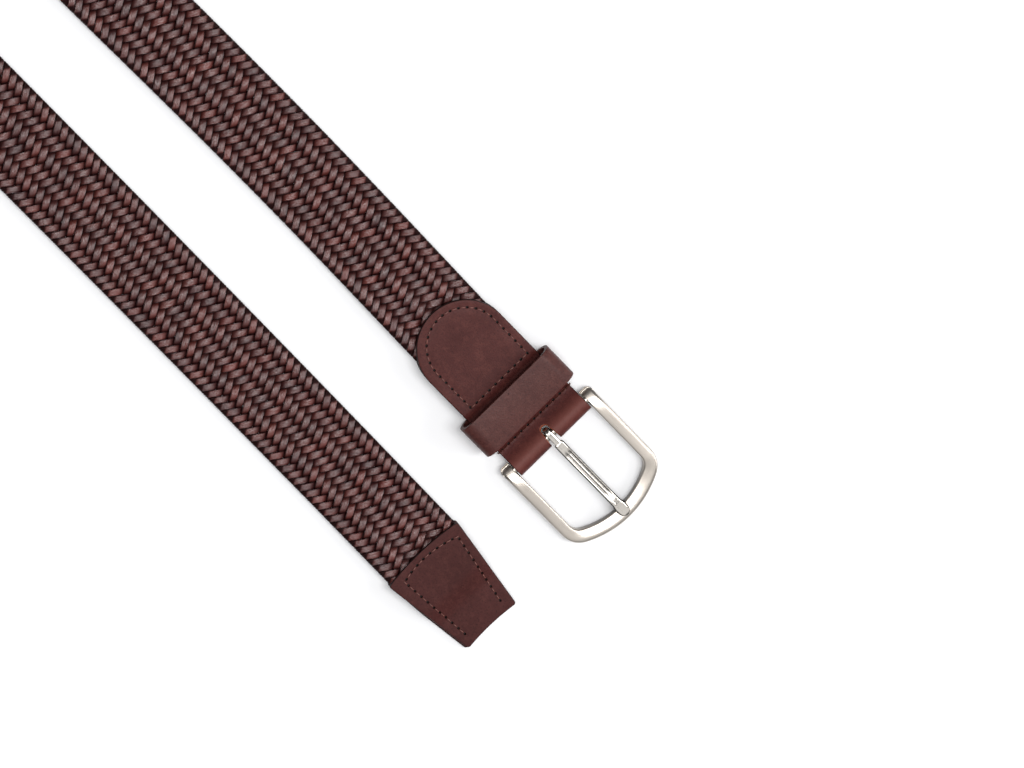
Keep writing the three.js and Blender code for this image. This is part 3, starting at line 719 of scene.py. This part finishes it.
# The buckle tab
# One strip of smooth leather with two round ends, folded round the buckle's bar over the plait's end.
# It has a slot for the prong, whose cut edge is left raw, and two rows of stitches beside the keeper.
TAB_WIDTH = 35 * MM
TAB_SEAM_TO_BAR = 8.4 * MM
FOLD_START = math.radians(118)
SLOT_WIDTH = 4.3 * MM
SLOT_BEHIND_BAR = 4.3 * MM
SLOT_END_HALF = 1.65 * MM        # the slot's ends are drawn in round the hook
SLOT_FLARE = 4.5 * MM
BAR_DIAMETER = 3.2 * MM
KEEPER_LEATHER = 1.5 * MM
TAB_CELL = 1.1 * MM
fold_inner = BAR_DIAMETER / 2 + CLEARANCE
tab_under_braid = TAB_LEATHER + PRESSED_THICK + 2 * CLEARANCE
tab_under_keeper = TAB_LEATHER + KEEPER_LEATHER + 2 * CLEARANCE
tab_stations = [
    (TAB_LENGTH, tab_under_braid),
    (braid_start + CLEARANCE, tab_under_braid),
    (keeper_far + CLEARANCE, tab_under_keeper),
    (KEEPER_TO_BAR - CLEARANCE, tab_under_keeper),
    (TAB_SEAM_TO_BAR, TAB_LEATHER + CLEARANCE),
]


def lengths_along(line):
    """How far along a line of points each of them lies."""
    return np.concatenate([[0], np.cumsum(np.linalg.norm(np.diff(line, axis=0), axis=1))])


def tab_side_view():
    """The middle of the leather, seen from the side, from the front layer's end round to the back's."""
    points = []
    for (behind, under), (next_behind, next_under) in zip(tab_stations, tab_stations[1:]):
        for share in np.arange(16) / 16:
            height = lerp(under, next_under, smooth(share)) + TAB_LEATHER / 2
            points.append((-lerp(behind, next_behind, share), height))
    radius = fold_inner + TAB_LEATHER / 2
    seam = (-TAB_SEAM_TO_BAR, TAB_LEATHER * 1.5 + CLEARANCE)
    fold = (math.cos(FOLD_START) * radius, BAR.z + math.sin(FOLD_START) * radius)
    pull = (fold[0] - seam[0]) * 0.42
    lifted = (fold[0] - pull * math.sin(FOLD_START), fold[1] + pull * math.cos(FOLD_START))
    for share in np.arange(24) / 24:
        rest = 1 - share
        weights = (rest ** 3, 3 * rest ** 2 * share, 3 * rest * share ** 2, share ** 3)
        handles = (seam, (seam[0] + pull, seam[1]), lifted, fold)
        points.append(tuple(sum(w * handle[axis] for w, handle in zip(weights, handles)) for axis in (0, 1)))
    for angle in np.linspace(FOLD_START, -math.pi / 2, 40):
        points.append((math.cos(angle) * radius, BAR.z + math.sin(angle) * radius))
    points.append((-TAB_LENGTH, TAB_LEATHER / 2))
    return np.array(points)


tab_line = tab_side_view()
tab_lengths = lengths_along(tab_line)
tab_slope = np.gradient(tab_line, tab_lengths, axis=0)
tab_slope /= np.linalg.norm(tab_slope, axis=1, keepdims=True)
tab_total = tab_lengths[-1]
fold_front = int(np.argmax(tab_line[:, 0]))


def front_length(behind_bar):
    """How far along the flat strip a place on the front layer lies."""
    return float(np.interp(-behind_bar, tab_line[:fold_front + 1, 0], tab_lengths[:fold_front + 1]))


def in_tab(places):
    """Folds a flat strip's places round the bar."""
    x, z = (np.interp(places[:, 0], tab_lengths, tab_line[:, axis]) for axis in (0, 1))
    east, north = (np.interp(places[:, 0], tab_lengths, tab_slope[:, axis]) for axis in (0, 1))
    return np.stack([
        BAR.x + x - north * places[:, 2],
        BAR.y + places[:, 1],
        z + east * places[:, 2],
    ], -1)


CROWN_BEHIND_BAR = 1.4 * MM      # a painted highlight lies in a band here on the fold
CROWN_REACH = 2.3 * MM
CROWN_HIGHLIGHT = 0.55
tab_half = TAB_WIDTH / 2
slot_half = SLOT_WIDTH / 2
slot_front = front_length(SLOT_BEHIND_BAR)
slot_back = tab_total - (TAB_LENGTH - SLOT_BEHIND_BAR)
quarter = np.linspace(0, math.pi / 2, 28)
round_end = [(tab_half * (1 - math.cos(a)), tab_half * math.sin(a)) for a in quarter]
slot_end = [(SLOT_END_HALF * (1 - math.cos(a)), SLOT_END_HALF * math.sin(a)) for a in quarter[::4]]
slot_end += [(SLOT_END_HALF + out, lerp(SLOT_END_HALF, slot_half, float(smooth(out / SLOT_FLARE))))
             for out in np.arange(1, 6) / 5 * SLOT_FLARE]
tab_outline = (
    round_end
    + [(tab_total - x, y) for x, y in reversed(round_end)]
    + [(slot_back - x, y) for x, y in slot_end]
    + [(slot_front + x, y) for x, y in reversed(slot_end)]
)

# The stitched rows: a round-ended loop in the tab's face, and a straight row beside the fold
LOOP_NEAR = 28.1 * MM
LOOP_FAR = 59.7 * MM
LOOP_HALF = 14.0 * MM
LOOP_ASIDE = 0.6 * MM            # the loop is sewn this far off the middle
LOOP_STITCHES = 34
SEAM_HALF = 16.0 * MM
SEAM_STITCHES = 11
SEAM_THREAD = 0.58 * MM
tab_top = TAB_LEATHER / 2
loop_turn = LOOP_FAR - LOOP_HALF
loop_path = (
    [(front_length(LOOP_NEAR), LOOP_ASIDE + LOOP_HALF)]
    + [(front_length(loop_turn) - LOOP_HALF * math.sin(a), LOOP_ASIDE + LOOP_HALF * math.cos(a))
       for a in np.linspace(0, math.pi, 25)]
    + [(front_length(LOOP_NEAR), LOOP_ASIDE - LOOP_HALF)]
)
seam_path = [(front_length(TAB_SEAM_TO_BAR), SEAM_HALF), (front_length(TAB_SEAM_TO_BAR), -SEAM_HALF)]

tab = cut_flat("folded_tab", tab_outline, TAB_LEATHER, mirrored=True)
for face in tab.data.polygons:
    if face.material_index == 1 and abs(face.center.y) < slot_half * 1.05 and \
            slot_front - MM / 2 < face.center.x < slot_back + MM / 2:
        face.material_index = 2
score(tab, TAB_CELL)
places = read_places(tab)
places[:, 2] = dented(places, loop_path, tab_top, 0.14 * MM, 0.9 * MM, closed=True)
places[:, 2] = dented(places, seam_path, tab_top, 0.45 * MM, 1.5 * MM)
set_places(tab, places)
pierce(tab, *evenly_along(loop_path, LOOP_STITCHES, closed=True), tab_top)
pierce(tab, *evenly_along(seam_path, SEAM_STITCHES), tab_top - 0.2 * MM, 1.3)
set_places(tab, in_tab(read_places(tab)))
smooth_shading(tab, 40)
tab_leather = smooth_leather(
    "tab_leather", colour(66, 27, 25), colour(77, 34, 31), colour(94, 49, 43), 0.46, 0.15)
folded = read_places(tab)
# Painted highlight: the top of the fold is lightened in a band behind the bar, where the lamp shines on it
crown = np.exp(-((folded[:, 0] - BAR.x + CROWN_BEHIND_BAR) / CROWN_REACH) ** 2) * (folded[:, 2] > BAR.z)
store(tab, "crown", "FLOAT", crown * CROWN_HIGHLIGHT)
tree = tab_leather.node_tree
shader = tree.nodes["Principled BSDF"]
fold_highlight = add_node(tree, "ShaderNodeAttribute", attribute_name="crown")
dyed = shader.inputs["Base Color"].links[0].from_socket
crowned = mix_colours(tree, fold_highlight.outputs["Fac"], dyed, colour(126, 74, 66))
tree.links.new(crowned, shader.inputs["Base Color"])
raw_edge = painted_edge("raw_edge", colour(128, 68, 46), 0.75)
for material in (tab_leather, edge_paint_and_hole_shade, raw_edge):
    tab.data.materials.append(material)
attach(tab, "strap")
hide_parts("buckle_tab")

tab_thread = stitches("tab_loop_stitches", loop_path, LOOP_STITCHES, tab_top - 0.14 * MM, closed=True)
seam_thread = stitches("tab_seam_stitches", seam_path, SEAM_STITCHES, tab_top + 0.22 * MM, radius=SEAM_THREAD,
                       gap=0.95 * MM, over_ends=0.95 * MM)
for thread in (tab_thread, seam_thread):
    set_places(thread, in_tab(read_places(thread)))
    smooth_shading(thread, 60)
    thread.data.materials.append(thread_cotton)
    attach(thread, "strap")

# The keeper
# A band of smooth leather bent into a flat loop, its ends sewn in under the tab's front layer.
# It has room for the tail to pass through, and its edges are painted dark and burnished.
KEEPER_SPAN = 42.9 * MM
KEEPER_ROOM = 5.2 * MM
KEEPER_CORNER = 4.6 * MM
KEEPER_CROWN = 0.25 * MM         # its top rises this much between its edges
AWL_MARK_TO_BAR = 23.8 * MM      # a small hole where an awl has pricked it
AWL_MARK_ASIDE = 0.36 * MM
keeper_low = TAB_LEATHER + CLEARANCE
keeper_high = tab_under_keeper + TAB_LEATHER + KEEPER_ROOM + KEEPER_LEATHER
keeper_tall = keeper_high - keeper_low
bpy.ops.mesh.primitive_cube_add(size=1, location=(0, 0, 0))
keeper = bpy.context.object
keeper.name = keeper.data.name = "keeper_band"
keeper_middle = Vector((BAR.x - KEEPER_TO_BAR - KEEPER_WIDTH / 2, BAR.y, (keeper_low + keeper_high) / 2))
set_places(keeper, read_places(keeper) * (KEEPER_WIDTH, KEEPER_SPAN, keeper_tall) + np.array(keeper_middle))
for edge in keeper.data.edges:
    ends = [keeper.data.vertices[index].co.x for index in edge.vertices]
    edge.select = abs(ends[0] - ends[1]) > KEEPER_WIDTH / 2
for face in keeper.data.polygons:
    face.select = False
select_only(keeper)
bpy.context.tool_settings.mesh_select_mode = (False, True, False)
bpy.ops.object.mode_set(mode="EDIT")
bpy.ops.mesh.bevel(offset=KEEPER_CORNER, segments=12, affect="EDGES")
bpy.ops.mesh.select_all(action="DESELECT")
bpy.ops.mesh.select_mode(type="FACE")
bpy.ops.object.mode_set(mode="OBJECT")
for face in keeper.data.polygons:
    face.select = abs(face.normal.x) > 0.9
bpy.ops.object.mode_set(mode="EDIT")
bpy.ops.mesh.delete(type="FACE")
bpy.ops.mesh.select_mode(type="VERT")
bpy.ops.object.mode_set(mode="OBJECT")
wall = keeper.modifiers.new("leather", "SOLIDIFY")
wall.thickness = KEEPER_LEATHER
wall.offset = -1
wall.use_even_offset = True
wall.material_offset_rim = 1
bpy.ops.object.modifier_apply(modifier=wall.name)
for axis, cell in ((0, 1.0 * MM), (1, 1.5 * MM)):
    places = read_places(keeper)
    normal = (1, 0, 0) if axis == 0 else (0, 1, 0)
    select_only(keeper)
    bpy.ops.object.mode_set(mode="EDIT")
    for level in np.arange(places[:, axis].min() + cell, places[:, axis].max() - cell / 2, cell):
        bpy.ops.mesh.select_all(action="SELECT")
        bpy.ops.mesh.bisect(plane_co=[level * share for share in normal], plane_no=normal)
    bpy.ops.object.mode_set(mode="OBJECT")
rounding = keeper.modifiers.new("rounded edges", "BEVEL")
rounding.width = EDGE_ROUND
rounding.segments = 3
rounding.limit_method = "ANGLE"
rounding.angle_limit = math.radians(60)
rounding.material = 1
bpy.ops.object.modifier_apply(modifier=rounding.name)
bpy.ops.mesh.primitive_cylinder_add(vertices=12, radius=0.32 * MM, depth=MM,
                                    location=(BAR.x - AWL_MARK_TO_BAR, BAR.y - AWL_MARK_ASIDE, keeper_high))
awl = bpy.context.object
mark = keeper.modifiers.new("awl mark", "BOOLEAN")
mark.object = awl
mark.solver = "EXACT"
select_only(keeper)
bpy.ops.object.modifier_apply(modifier=mark.name)
bpy.data.objects.remove(awl)
places = read_places(keeper)
from_middle = (places[:, 0] - keeper_middle.x) / (KEEPER_WIDTH / 2)
upper = places[:, 2] > keeper_middle.z
places[:, 2] -= upper * KEEPER_CROWN * from_middle ** 2
set_places(keeper, places)
keeper_leather = smooth_leather(
    "keeper_leather", colour(68, 32, 29), colour(80, 42, 38), colour(96, 56, 50), 0.42, 0.2)
keeper.data.materials.append(keeper_leather)
keeper.data.materials.append(edge_paint_and_hole_shade)
smooth_shading(keeper, 40)
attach(keeper, "strap")
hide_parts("keeper")

# The buckle's frame
# One casting: a horseshoe of flat-sided wire with a bowed front, and the bar that the tab is folded round.
# It is brushed along its length and nickel plated, so that it shines softly.
FRAME_HALF_WIDTH = 22.2 * MM
FRAME_REACH = 43.1 * MM
LEG_WIDTH = 4.3 * MM
FRONT_WIDTH = 5.3 * MM
LEG_THICK = 3.5 * MM
FRONT_THICK = 4 * MM
FRONT_BOW_RADIUS = 36 * MM
OUTER_CORNER = 9 * MM
INNER_CORNER = 5 * MM
LEG_PAST_BAR = 3.5 * MM
LEG_NOSE_LENGTH = 5.6 * MM
LEG_NOSE_INSET = 1.9 * MM
NOSE_START = 6.4 * MM            # from here back the legs' tops bend down, ever more steeply
NOSE_SLOPE = 0.034 / MM
frame_lean = math.asin((BAR.z - FRONT_THICK / 2) / FRAME_REACH)
# The wire's section: share of the way from its inner edge, -1, to its outer edge, and of its half thickness
frame_section = [
    (-1, -0.6), (-0.8, -1), (0.6, -1), (1, -0.45), (1, 0.3), (0.93, 0.74), (0.74, 0.94), (0.3, 1),
    (-0.7, 1), (-0.91, 0.92), (-1, 0.66)]
bow_section = [
    (-1, -0.6), (-0.8, -1), (0.6, -1), (1, -0.45), (1, 0.2), (0.86, 0.66), (0.58, 0.94), (0.2, 0.96),
    (-0.6, 0.72), (-0.9, 0.6), (-1, 0.4)]


def rounded_ring(corners, per_corner):
    """A smooth closed line through its corners."""
    corners = np.array(corners, float)
    count = len(corners)
    line = []
    for index in range(count):
        before, start, end, after = (corners[(index + step) % count] for step in (-1, 0, 1, 2))
        for share in np.arange(per_corner) / per_corner:
            line.append(0.5 * (2 * start + (end - before) * share
                               + (2 * before - 5 * start + 4 * end - after) * share ** 2
                               + (3 * start - before - 3 * end + after) * share ** 3))
    return np.array(line)


def half_outline(half_width, bow_radius, corner):
    """Half of an edge of the horseshoe, from a leg's rear end to the middle of the front."""
    bow_centre = FRAME_REACH - FRONT_BOW_RADIUS
    corner_y = half_width - corner
    corner_x = bow_centre + math.sqrt((bow_radius - corner) ** 2 - corner_y ** 2)
    meet = math.atan2(corner_y, corner_x - bow_centre)
    nose = [(-LEG_PAST_BAR + LEG_NOSE_LENGTH * (1 - math.cos(a)), half_width)
            for a in np.linspace(0, math.pi / 2, 14)]
    leg = [(x, half_width) for x in np.linspace(nose[-1][0], corner_x, 12)[1:-1]]
    bend = [(corner_x + corner * math.cos(a), corner_y + corner * math.sin(a))
            for a in np.linspace(math.pi / 2, meet, 18)]
    bow = [(bow_centre + bow_radius * math.cos(a), bow_radius * math.sin(a))
           for a in np.linspace(meet, 0, 16)[1:]]
    return np.array(nose + leg + bend + bow)


outer = half_outline(FRAME_HALF_WIDTH, FRONT_BOW_RADIUS, OUTER_CORNER)
inner = half_outline(FRAME_HALF_WIDTH - LEG_WIDTH, FRONT_BOW_RADIUS - FRONT_WIDTH, INNER_CORNER)
from_nose = np.clip((outer[:, 0] + LEG_PAST_BAR) / LEG_NOSE_LENGTH, 0, 1)
fullness = np.sqrt(1 - (1 - np.maximum(np.minimum(from_nose * 2, 1), 0.004)) ** 2)
thick = lerp(LEG_THICK, FRONT_THICK, smooth(outer[:, 0] / (FRAME_REACH / 2) - 1)) * fullness
outer[:, 1] -= LEG_NOSE_INSET * (1 - np.sqrt(1 - (1 - np.minimum(from_nose * 2.8, 1)) ** 2))
other_side = np.array([1, -1])
outer = np.concatenate([outer, outer[-2::-1] * other_side])
inner = np.concatenate([inner, inner[-2::-1] * other_side])
thick = np.concatenate([thick, thick[-2::-1]])
wire_ring = rounded_ring(frame_section, 3)
bow_ring = rounded_ring(bow_section, 3)
horseshoe, turn, step = drawn_tube("brushed_frame", len(wire_ring), len(outer) - 1)
at_front = smooth((((outer + inner) / 2)[:, 0] / FRAME_REACH - 0.72) / 0.2)[step]
aside = lerp(wire_ring[turn, 0], bow_ring[turn, 0], at_front)
plan = inner[step] + (outer[step] - inner[step]) * ((aside + 1) / 2)[:, None]
height = lerp(wire_ring[turn, 1], bow_ring[turn, 1], at_front) * thick[step] / 2
nose_drop = NOSE_SLOPE * np.clip(NOSE_START - outer[:, 0], 0, None) ** 2
height -= nose_drop[step] * np.clip(height * 2 / LEG_THICK + 0.2, 0, 1)


def leant(places):
    """Tilts the frame's places down round the bar, until its front rests."""
    x, y, z = places
    return np.stack([
        BAR.x + x * math.cos(frame_lean) + z * math.sin(frame_lean),
        BAR.y + y,
        BAR.z + z * math.cos(frame_lean) - x * math.sin(frame_lean),
    ], -1)


frame_places = leant((plan[:, 0], plan[:, 1], height))
frame_places[:, 2] = np.maximum(frame_places[:, 2], 0.03 * MM)
set_places(horseshoe, frame_places)
# Painted dark reflection along the inner edge of the frame's front
inside = smooth((-0.9 - aside) / 0.08) * smooth((0.9 - wire_ring[turn, 1]) / 0.2)
store(horseshoe, "dark_reflection", "FLOAT", inside * at_front * 0.8)
along_wire = lengths_along((outer + inner) / 2)
around_wire = lengths_along(wire_ring) * LEG_WIDTH / 2
face_outwards(horseshoe)
store(horseshoe, "brushed", "FLOAT_VECTOR", np.stack([along_wire[step], around_wire[turn], aside * 0], -1))
smooth_shading(horseshoe, 50)

bar_rod, turn, step = drawn_tube("bar_rod", 24, 1)
angle = turn * 2 * math.pi / 24
bar_radius = BAR_DIAMETER / 2
bar_length = 2 * (FRAME_HALF_WIDTH - LEG_WIDTH + CLEARANCE)
bar_places = (np.cos(angle) * bar_radius, (step - 0.5) * bar_length, np.sin(angle) * bar_radius)
set_places(bar_rod, leant(bar_places))
face_outwards(bar_rod)
store(bar_rod, "dark_reflection", "FLOAT", step * 0.0)
store(bar_rod, "brushed", "FLOAT_VECTOR", np.stack([step * bar_length, angle * bar_radius, step * 0.0], -1))
smooth_shading(bar_rod, 50)
select_only(horseshoe)
bar_rod.select_set(True)
bpy.ops.object.join()

brushing, brushing_in, brushing_out = node_group("brush_marks", [
    ("Position", "INPUT", "NodeSocketVector", None),
    ("Mark Scale", "INPUT", "NodeSocketFloat", 3000.0),
    ("Marks", "OUTPUT", "NodeSocketFloat", None),
    ("Haze", "OUTPUT", "NodeSocketFloat", None),
])
drawn_out = add_node(brushing, "ShaderNodeMapping", inputs={
    "Vector": brushing_in.outputs["Position"], "Scale": (0.03, 1, 1)})
marks = add_node(brushing, "ShaderNodeTexNoise", inputs={
    "Vector": drawn_out.outputs["Vector"], "Scale": brushing_in.outputs["Mark Scale"], "Detail": 4.0})
haze = add_node(brushing, "ShaderNodeTexNoise", inputs={
    "Vector": brushing_in.outputs["Position"], "Scale": 160.0, "Detail": 3.0})
brushing.links.new(marks.outputs["Fac"], brushing_out.inputs["Marks"])
brushing.links.new(haze.outputs["Fac"], brushing_out.inputs["Haze"])


def nickel(name, base, roughness, spread_of_roughness, mark_strength, position):
    """Plated metal with brush marks along it, painted nearly black where its attribute says: a painted dark
    reflection.
    """
    material = bpy.data.materials.new(name)
    material.use_nodes = True
    tree = material.node_tree
    shader = tree.nodes["Principled BSDF"]
    if position:
        place = add_node(tree, "ShaderNodeAttribute", attribute_name=position).outputs["Vector"]
    else:
        place = add_node(tree, "ShaderNodeTexCoord").outputs["Object"]
    brush = add_node(tree, "ShaderNodeGroup", node_tree=brushing, inputs={"Position": place})
    darker = tuple(channel * 0.86 for channel in base[:3]) + (1,)
    plated = mix_colours(tree, brush.outputs["Haze"], darker, base)
    dark_share = add_node(tree, "ShaderNodeAttribute", attribute_name="dark_reflection")
    painted_black = tuple(channel * 0.07 for channel in base[:3]) + (1,)
    tree.links.new(mix_colours(tree, dark_share.outputs["Fac"], plated, painted_black), shader.inputs["Base Color"])
    tree.links.new(spread(tree, brush.outputs["Marks"], 0.3, 0.7, roughness - spread_of_roughness,
                          roughness + spread_of_roughness), shader.inputs["Roughness"])
    shader.inputs["Metallic"].default_value = 1
    bump = add_node(tree, "ShaderNodeBump", inputs={
        "Height": brush.outputs["Marks"], "Strength": mark_strength, "Distance": 0.00002})
    tree.links.new(bump.outputs["Normal"], shader.inputs["Normal"])
    return material


brushed_nickel = nickel("brushed_nickel", colour(190, 182, 173), 0.3, 0.03, 0.06, "brushed")
horseshoe.data.materials.append(brushed_nickel)
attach(horseshoe, "buckle")
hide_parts("buckle_frame")

# The prong
# A second casting, polished bright: a fluted arm that rests on the frame's front,
# and a narrower hook behind its shoulder that is bent round the bar through the tab's slot.
PRONG_REACH = 40.9 * MM
PRONG_THICK = 2.5 * MM
PRONG_WIDTH = 3.75 * MM
PRONG_TIP_WIDTH = 4.7 * MM
HOOK_WIDTH = 2.5 * MM
HOOK_WALL = 1.3 * MM
HOOK_REAR = 1.2 * MM             # from this far behind the bar the hook is grooved and drawn in
HOOK_GROOVE = 0.4 * MM
HOOK_DRAWN_IN = 0.24
FLUTE_DEPTH = 0.35 * MM
hook_outer = fold_inner + HOOK_WALL
front_middle = FRAME_REACH - FRONT_WIDTH / 2
prong_root = hook_outer - PRONG_THICK
prong_tip = FRONT_THICK / 2 * math.cos(frame_lean) - front_middle * math.sin(frame_lean) + CLEARANCE
shoulder = BAR.z + 1.5 * CLEARANCE
prong_stations = np.array([
    # along: share of the way to the tip, thick: share of the thickness, wide: 0 the arm's width, 1 the tip's,
    # end: share of that width, flute: share of its depth
    (0, 0.98, 0, 0.86, 0),
    (0.006, 1, 0, 0.96, 0),
    (0.02, 1, 0, 1, 0),
    (0.09, 0.97, 0, 1, 0),
    (0.14, 0.86, 0, 1, 1),
    (0.69, 0.8, 0, 1, 1),
    (0.73, 0.82, 0, 1, 0.5),
    (0.78, 0.93, 0, 1, 0),
    (0.84, 1, 0.25, 1, 0),
    (0.89, 1, 1, 1, 0),
    (0.94, 0.98, 1, 0.97, 0),
    (0.97, 0.94, 1, 0.82, 0),
    (0.99, 0.88, 1, 0.58, 0),
    (1, 0.8, 1, 0.25, 0),
])
fine_stations = np.unique(np.concatenate([
    np.linspace(0, 0.03, 6), np.linspace(0.03, 0.18, 10), np.linspace(0.18, 0.66, 12),
    np.linspace(0.66, 0.9, 26), np.linspace(0.9, 1, 14)]))
table = np.stack([np.interp(fine_stations, prong_stations[:, 0], prong_stations[:, column])
                  for column in range(5)], -1)
rings = []
for along, full, wide, end, flute in table:
    half = lerp(PRONG_WIDTH, PRONG_TIP_WIDTH, smooth(wide)) / 2 * end
    low = lerp(prong_root, prong_tip, along)
    high = low + PRONG_THICK * full
    dip = FLUTE_DEPTH * flute
    corners = [
        (-half, low + PRONG_THICK * 0.2), (-half * 0.7, low),
        (half * 0.7, low), (half, low + PRONG_THICK * 0.2),
        (half, high - PRONG_THICK * 0.16), (half * 0.74, high),
        (half * 0.46, high - dip), (0.06 * half, high - dip * 0.3),
        (-half * 0.22, high - dip), (-half * 0.74, high - dip * 0.1), (-half, high - PRONG_THICK * 0.16)]
    ring = rounded_ring(corners, 3)
    reach = np.full(len(ring), lerp(shoulder, PRONG_REACH, along))
    rings.append(np.stack([reach, ring[:, 0], ring[:, 1]], -1))
rings = np.array(rings)
# Painted dark reflection on the arm's sides, the walls of its flutes and its tip's end: 0 bright, 1 nearly
# black
share_across = rings[:, :, 1] / rings[:, :, 1].max(axis=1)[:, None]
fluted = table[:, 4][:, None]
dark_reflection = smooth((np.abs(share_across) - 0.7) / 0.14)
for wall_at in (0.46, -0.22):
    dark_reflection = np.maximum(dark_reflection, fluted * 0.95 * np.exp(-((share_across - wall_at) / 0.2) ** 2))
dark_reflection = np.maximum(dark_reflection, smooth((table[:, 0][:, None] - 0.975) / 0.02))
prong, turn, step = drawn_tube("fluted_prong", rings.shape[1], len(rings) - 1)
store(prong, "dark_reflection", "FLOAT", dark_reflection[step, turn])
set_places(prong, rings[step, turn] + np.array(BAR))
face_outwards(prong)
smooth_shading(prong, 45)

hook_top = fold_inner + HOOK_WALL / 2 - 0.06 * MM
hook_corners = np.array([
    (7, 0), (4.6, 0), (2.2, 0), (-0.5, -0.01), (-1.5, -0.13), (-2.15, -0.38), (-2.55, -0.95),
    (-2.65, -1.75), (-2.55, -2.9), (-2.0, -4.0), (-0.9, -4.8), (0.5, -5.0), (1.8, -4.4)]) * MM
hook_line = rounded_ring(hook_corners, 4)[4:-8]
hook_path = hook_line + (0, hook_top)
ahead = np.gradient(hook_path, axis=0)
ahead /= np.linalg.norm(ahead, axis=1, keepdims=True)
hook_out = np.stack([ahead[:, 1], -ahead[:, 0]], -1)
hook_ring = rounded_ring([
    (-1, -0.5), (-0.8, -1), (0.8, -1), (1, -0.5), (1, 0.5), (0.8, 1), (0.3, 1), (0, 1), (-0.3, 1),
    (-0.8, 1), (-1, 0.5)], 2)
hook, turn, step = drawn_tube("hook", len(hook_ring), len(hook_path) - 1)
rear = smooth((-HOOK_REAR - hook_path[:, 0]) / (0.9 * MM)) * (hook_path[:, 1] > 0)
notch = rear[step] * HOOK_GROOVE * np.exp(-(hook_ring[turn, 0] / 0.22) ** 2) * (hook_ring[turn, 1] > 0)
lift = hook_ring[turn, 1] * HOOK_WALL / 2 - notch
spots = hook_path[step] + hook_out[step] * lift[:, None]
drawn_in = 1 - HOOK_DRAWN_IN * smooth((-HOOK_REAR - hook_path[:, 0]) / (1.4 * MM))[step]
hook_wide = hook_ring[turn, 0] * HOOK_WIDTH / 2 * drawn_in
set_places(hook, np.stack([spots[:, 0], hook_wide, spots[:, 1]], -1) + np.array(BAR))
# Painted dark reflection along the hook's sides
store(hook, "dark_reflection", "FLOAT", np.where(np.abs(hook_ring[turn, 0]) > 0.93, 0.9, 0))
face_outwards(hook)
smooth_shading(hook, 45)
select_only(prong)
hook.select_set(True)
bpy.ops.object.join()
polished_nickel = nickel("polished_nickel", colour(222, 216, 208), 0.16, 0.03, 0.06, None)
prong.data.materials.append(polished_nickel)
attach(prong, "prong")
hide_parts("prong")

# The floor
# A sheet of pale board, under all of the belt.
bpy.ops.mesh.primitive_plane_add(size=8, location=(0, 0, 0))
floor = bpy.context.object
floor.name = "studio_floor"
set_places(floor, read_places(floor) - (0, 0, 0.02 * MM))
board = bpy.data.materials.new("pale_board")
board.use_nodes = True
board.node_tree.nodes["Principled BSDF"].inputs["Base Color"].default_value = (0.9, 0.9, 0.91, 1)
board.node_tree.nodes["Principled BSDF"].inputs["Roughness"].default_value = 0.9
board.node_tree.nodes["Principled BSDF"].inputs["Specular IOR Level"].default_value = 0.1
floor.data.materials.append(board)

# The light
# A dim room, a long soft lamp overhead, a window at one side and a pale card at the picture's foot.
world = bpy.data.worlds.new("white_room")
world.use_nodes = True
world.node_tree.nodes["Background"].inputs["Color"].default_value = (0.97, 0.98, 1.0, 1)
world.node_tree.nodes["Background"].inputs["Strength"].default_value = 0.14
bpy.context.scene.world = world

PICTURE_RIGHT = Vector((0.7, 0.71, 0))
PICTURE_UP = Vector((-0.69, 0.7, 0))


def soft_lamp(name, right, up, distance, width, height, radiance):
    """A lit rectangle that faces the belt: right and up are its slopes, as seen in the picture."""
    towards = (PICTURE_RIGHT * right + PICTURE_UP * up + Vector((0, 0, 1))).normalized()
    bpy.ops.object.light_add(type="AREA", location=(0, 0, 0))
    lamp = bpy.context.object
    lamp.name = lamp.data.name = name
    lamp.data.shape = "RECTANGLE"
    lamp.data.size = width
    lamp.data.size_y = height
    lamp.data.energy = radiance * math.pi * width * height
    level = (PICTURE_RIGHT - towards * PICTURE_RIGHT.dot(towards)).normalized()
    lamp.location = Vector((0.2, 0.02, 0)) + towards * distance
    lamp.rotation_euler = Matrix((level, towards.cross(level), towards)).transposed().to_euler()
    return lamp


soft_lamp("overhead_lamp", 0.1, 0.12, 1.7, 2.0, 0.56, 7.6)
soft_lamp("window_lamp", 2.6, 0.35, 1.9, 1.2, 1.2, 4.2)
soft_lamp("pale_card", 0.15, -0.75, 1.8, 3.0, 1.7, 0.75)

# The camera
# It looks down on the buckle end at fifteen degrees from upright, turned to lay the belt slantwise.
LOOK_AT = Vector((211.6, 31.5, 0)) * MM
CAMERA_DISTANCE = 1.5
VIEW_WIDTH = 365.7 * MM
SENSOR_WIDTH = 36
CAMERA_LEAN = math.radians(15)
CAMERA_TURN = math.radians(45.6)
away = Vector((-math.sin(CAMERA_LEAN), 0, math.cos(CAMERA_LEAN)))
level_x = Vector((math.cos(CAMERA_LEAN), 0, math.sin(CAMERA_LEAN)))
level_y = Vector((0, 1, 0))
right = level_x * math.cos(CAMERA_TURN) + level_y * math.sin(CAMERA_TURN)
upward = level_y * math.cos(CAMERA_TURN) - level_x * math.sin(CAMERA_TURN)
turned = Matrix((right, upward, away)).transposed().to_4x4()
camera_data = bpy.data.cameras.new("camera")
camera_data.lens = SENSOR_WIDTH * CAMERA_DISTANCE / VIEW_WIDTH
camera_data.sensor_width = SENSOR_WIDTH
camera_data.clip_end = 20
camera = bpy.data.objects.new("camera", camera_data)
bpy.context.scene.collection.objects.link(camera)
camera.matrix_world = Matrix.Translation(LOOK_AT + away * CAMERA_DISTANCE) @ turned
bpy.context.scene.camera = camera
bpy.context.scene.view_settings.view_transform = "Standard"
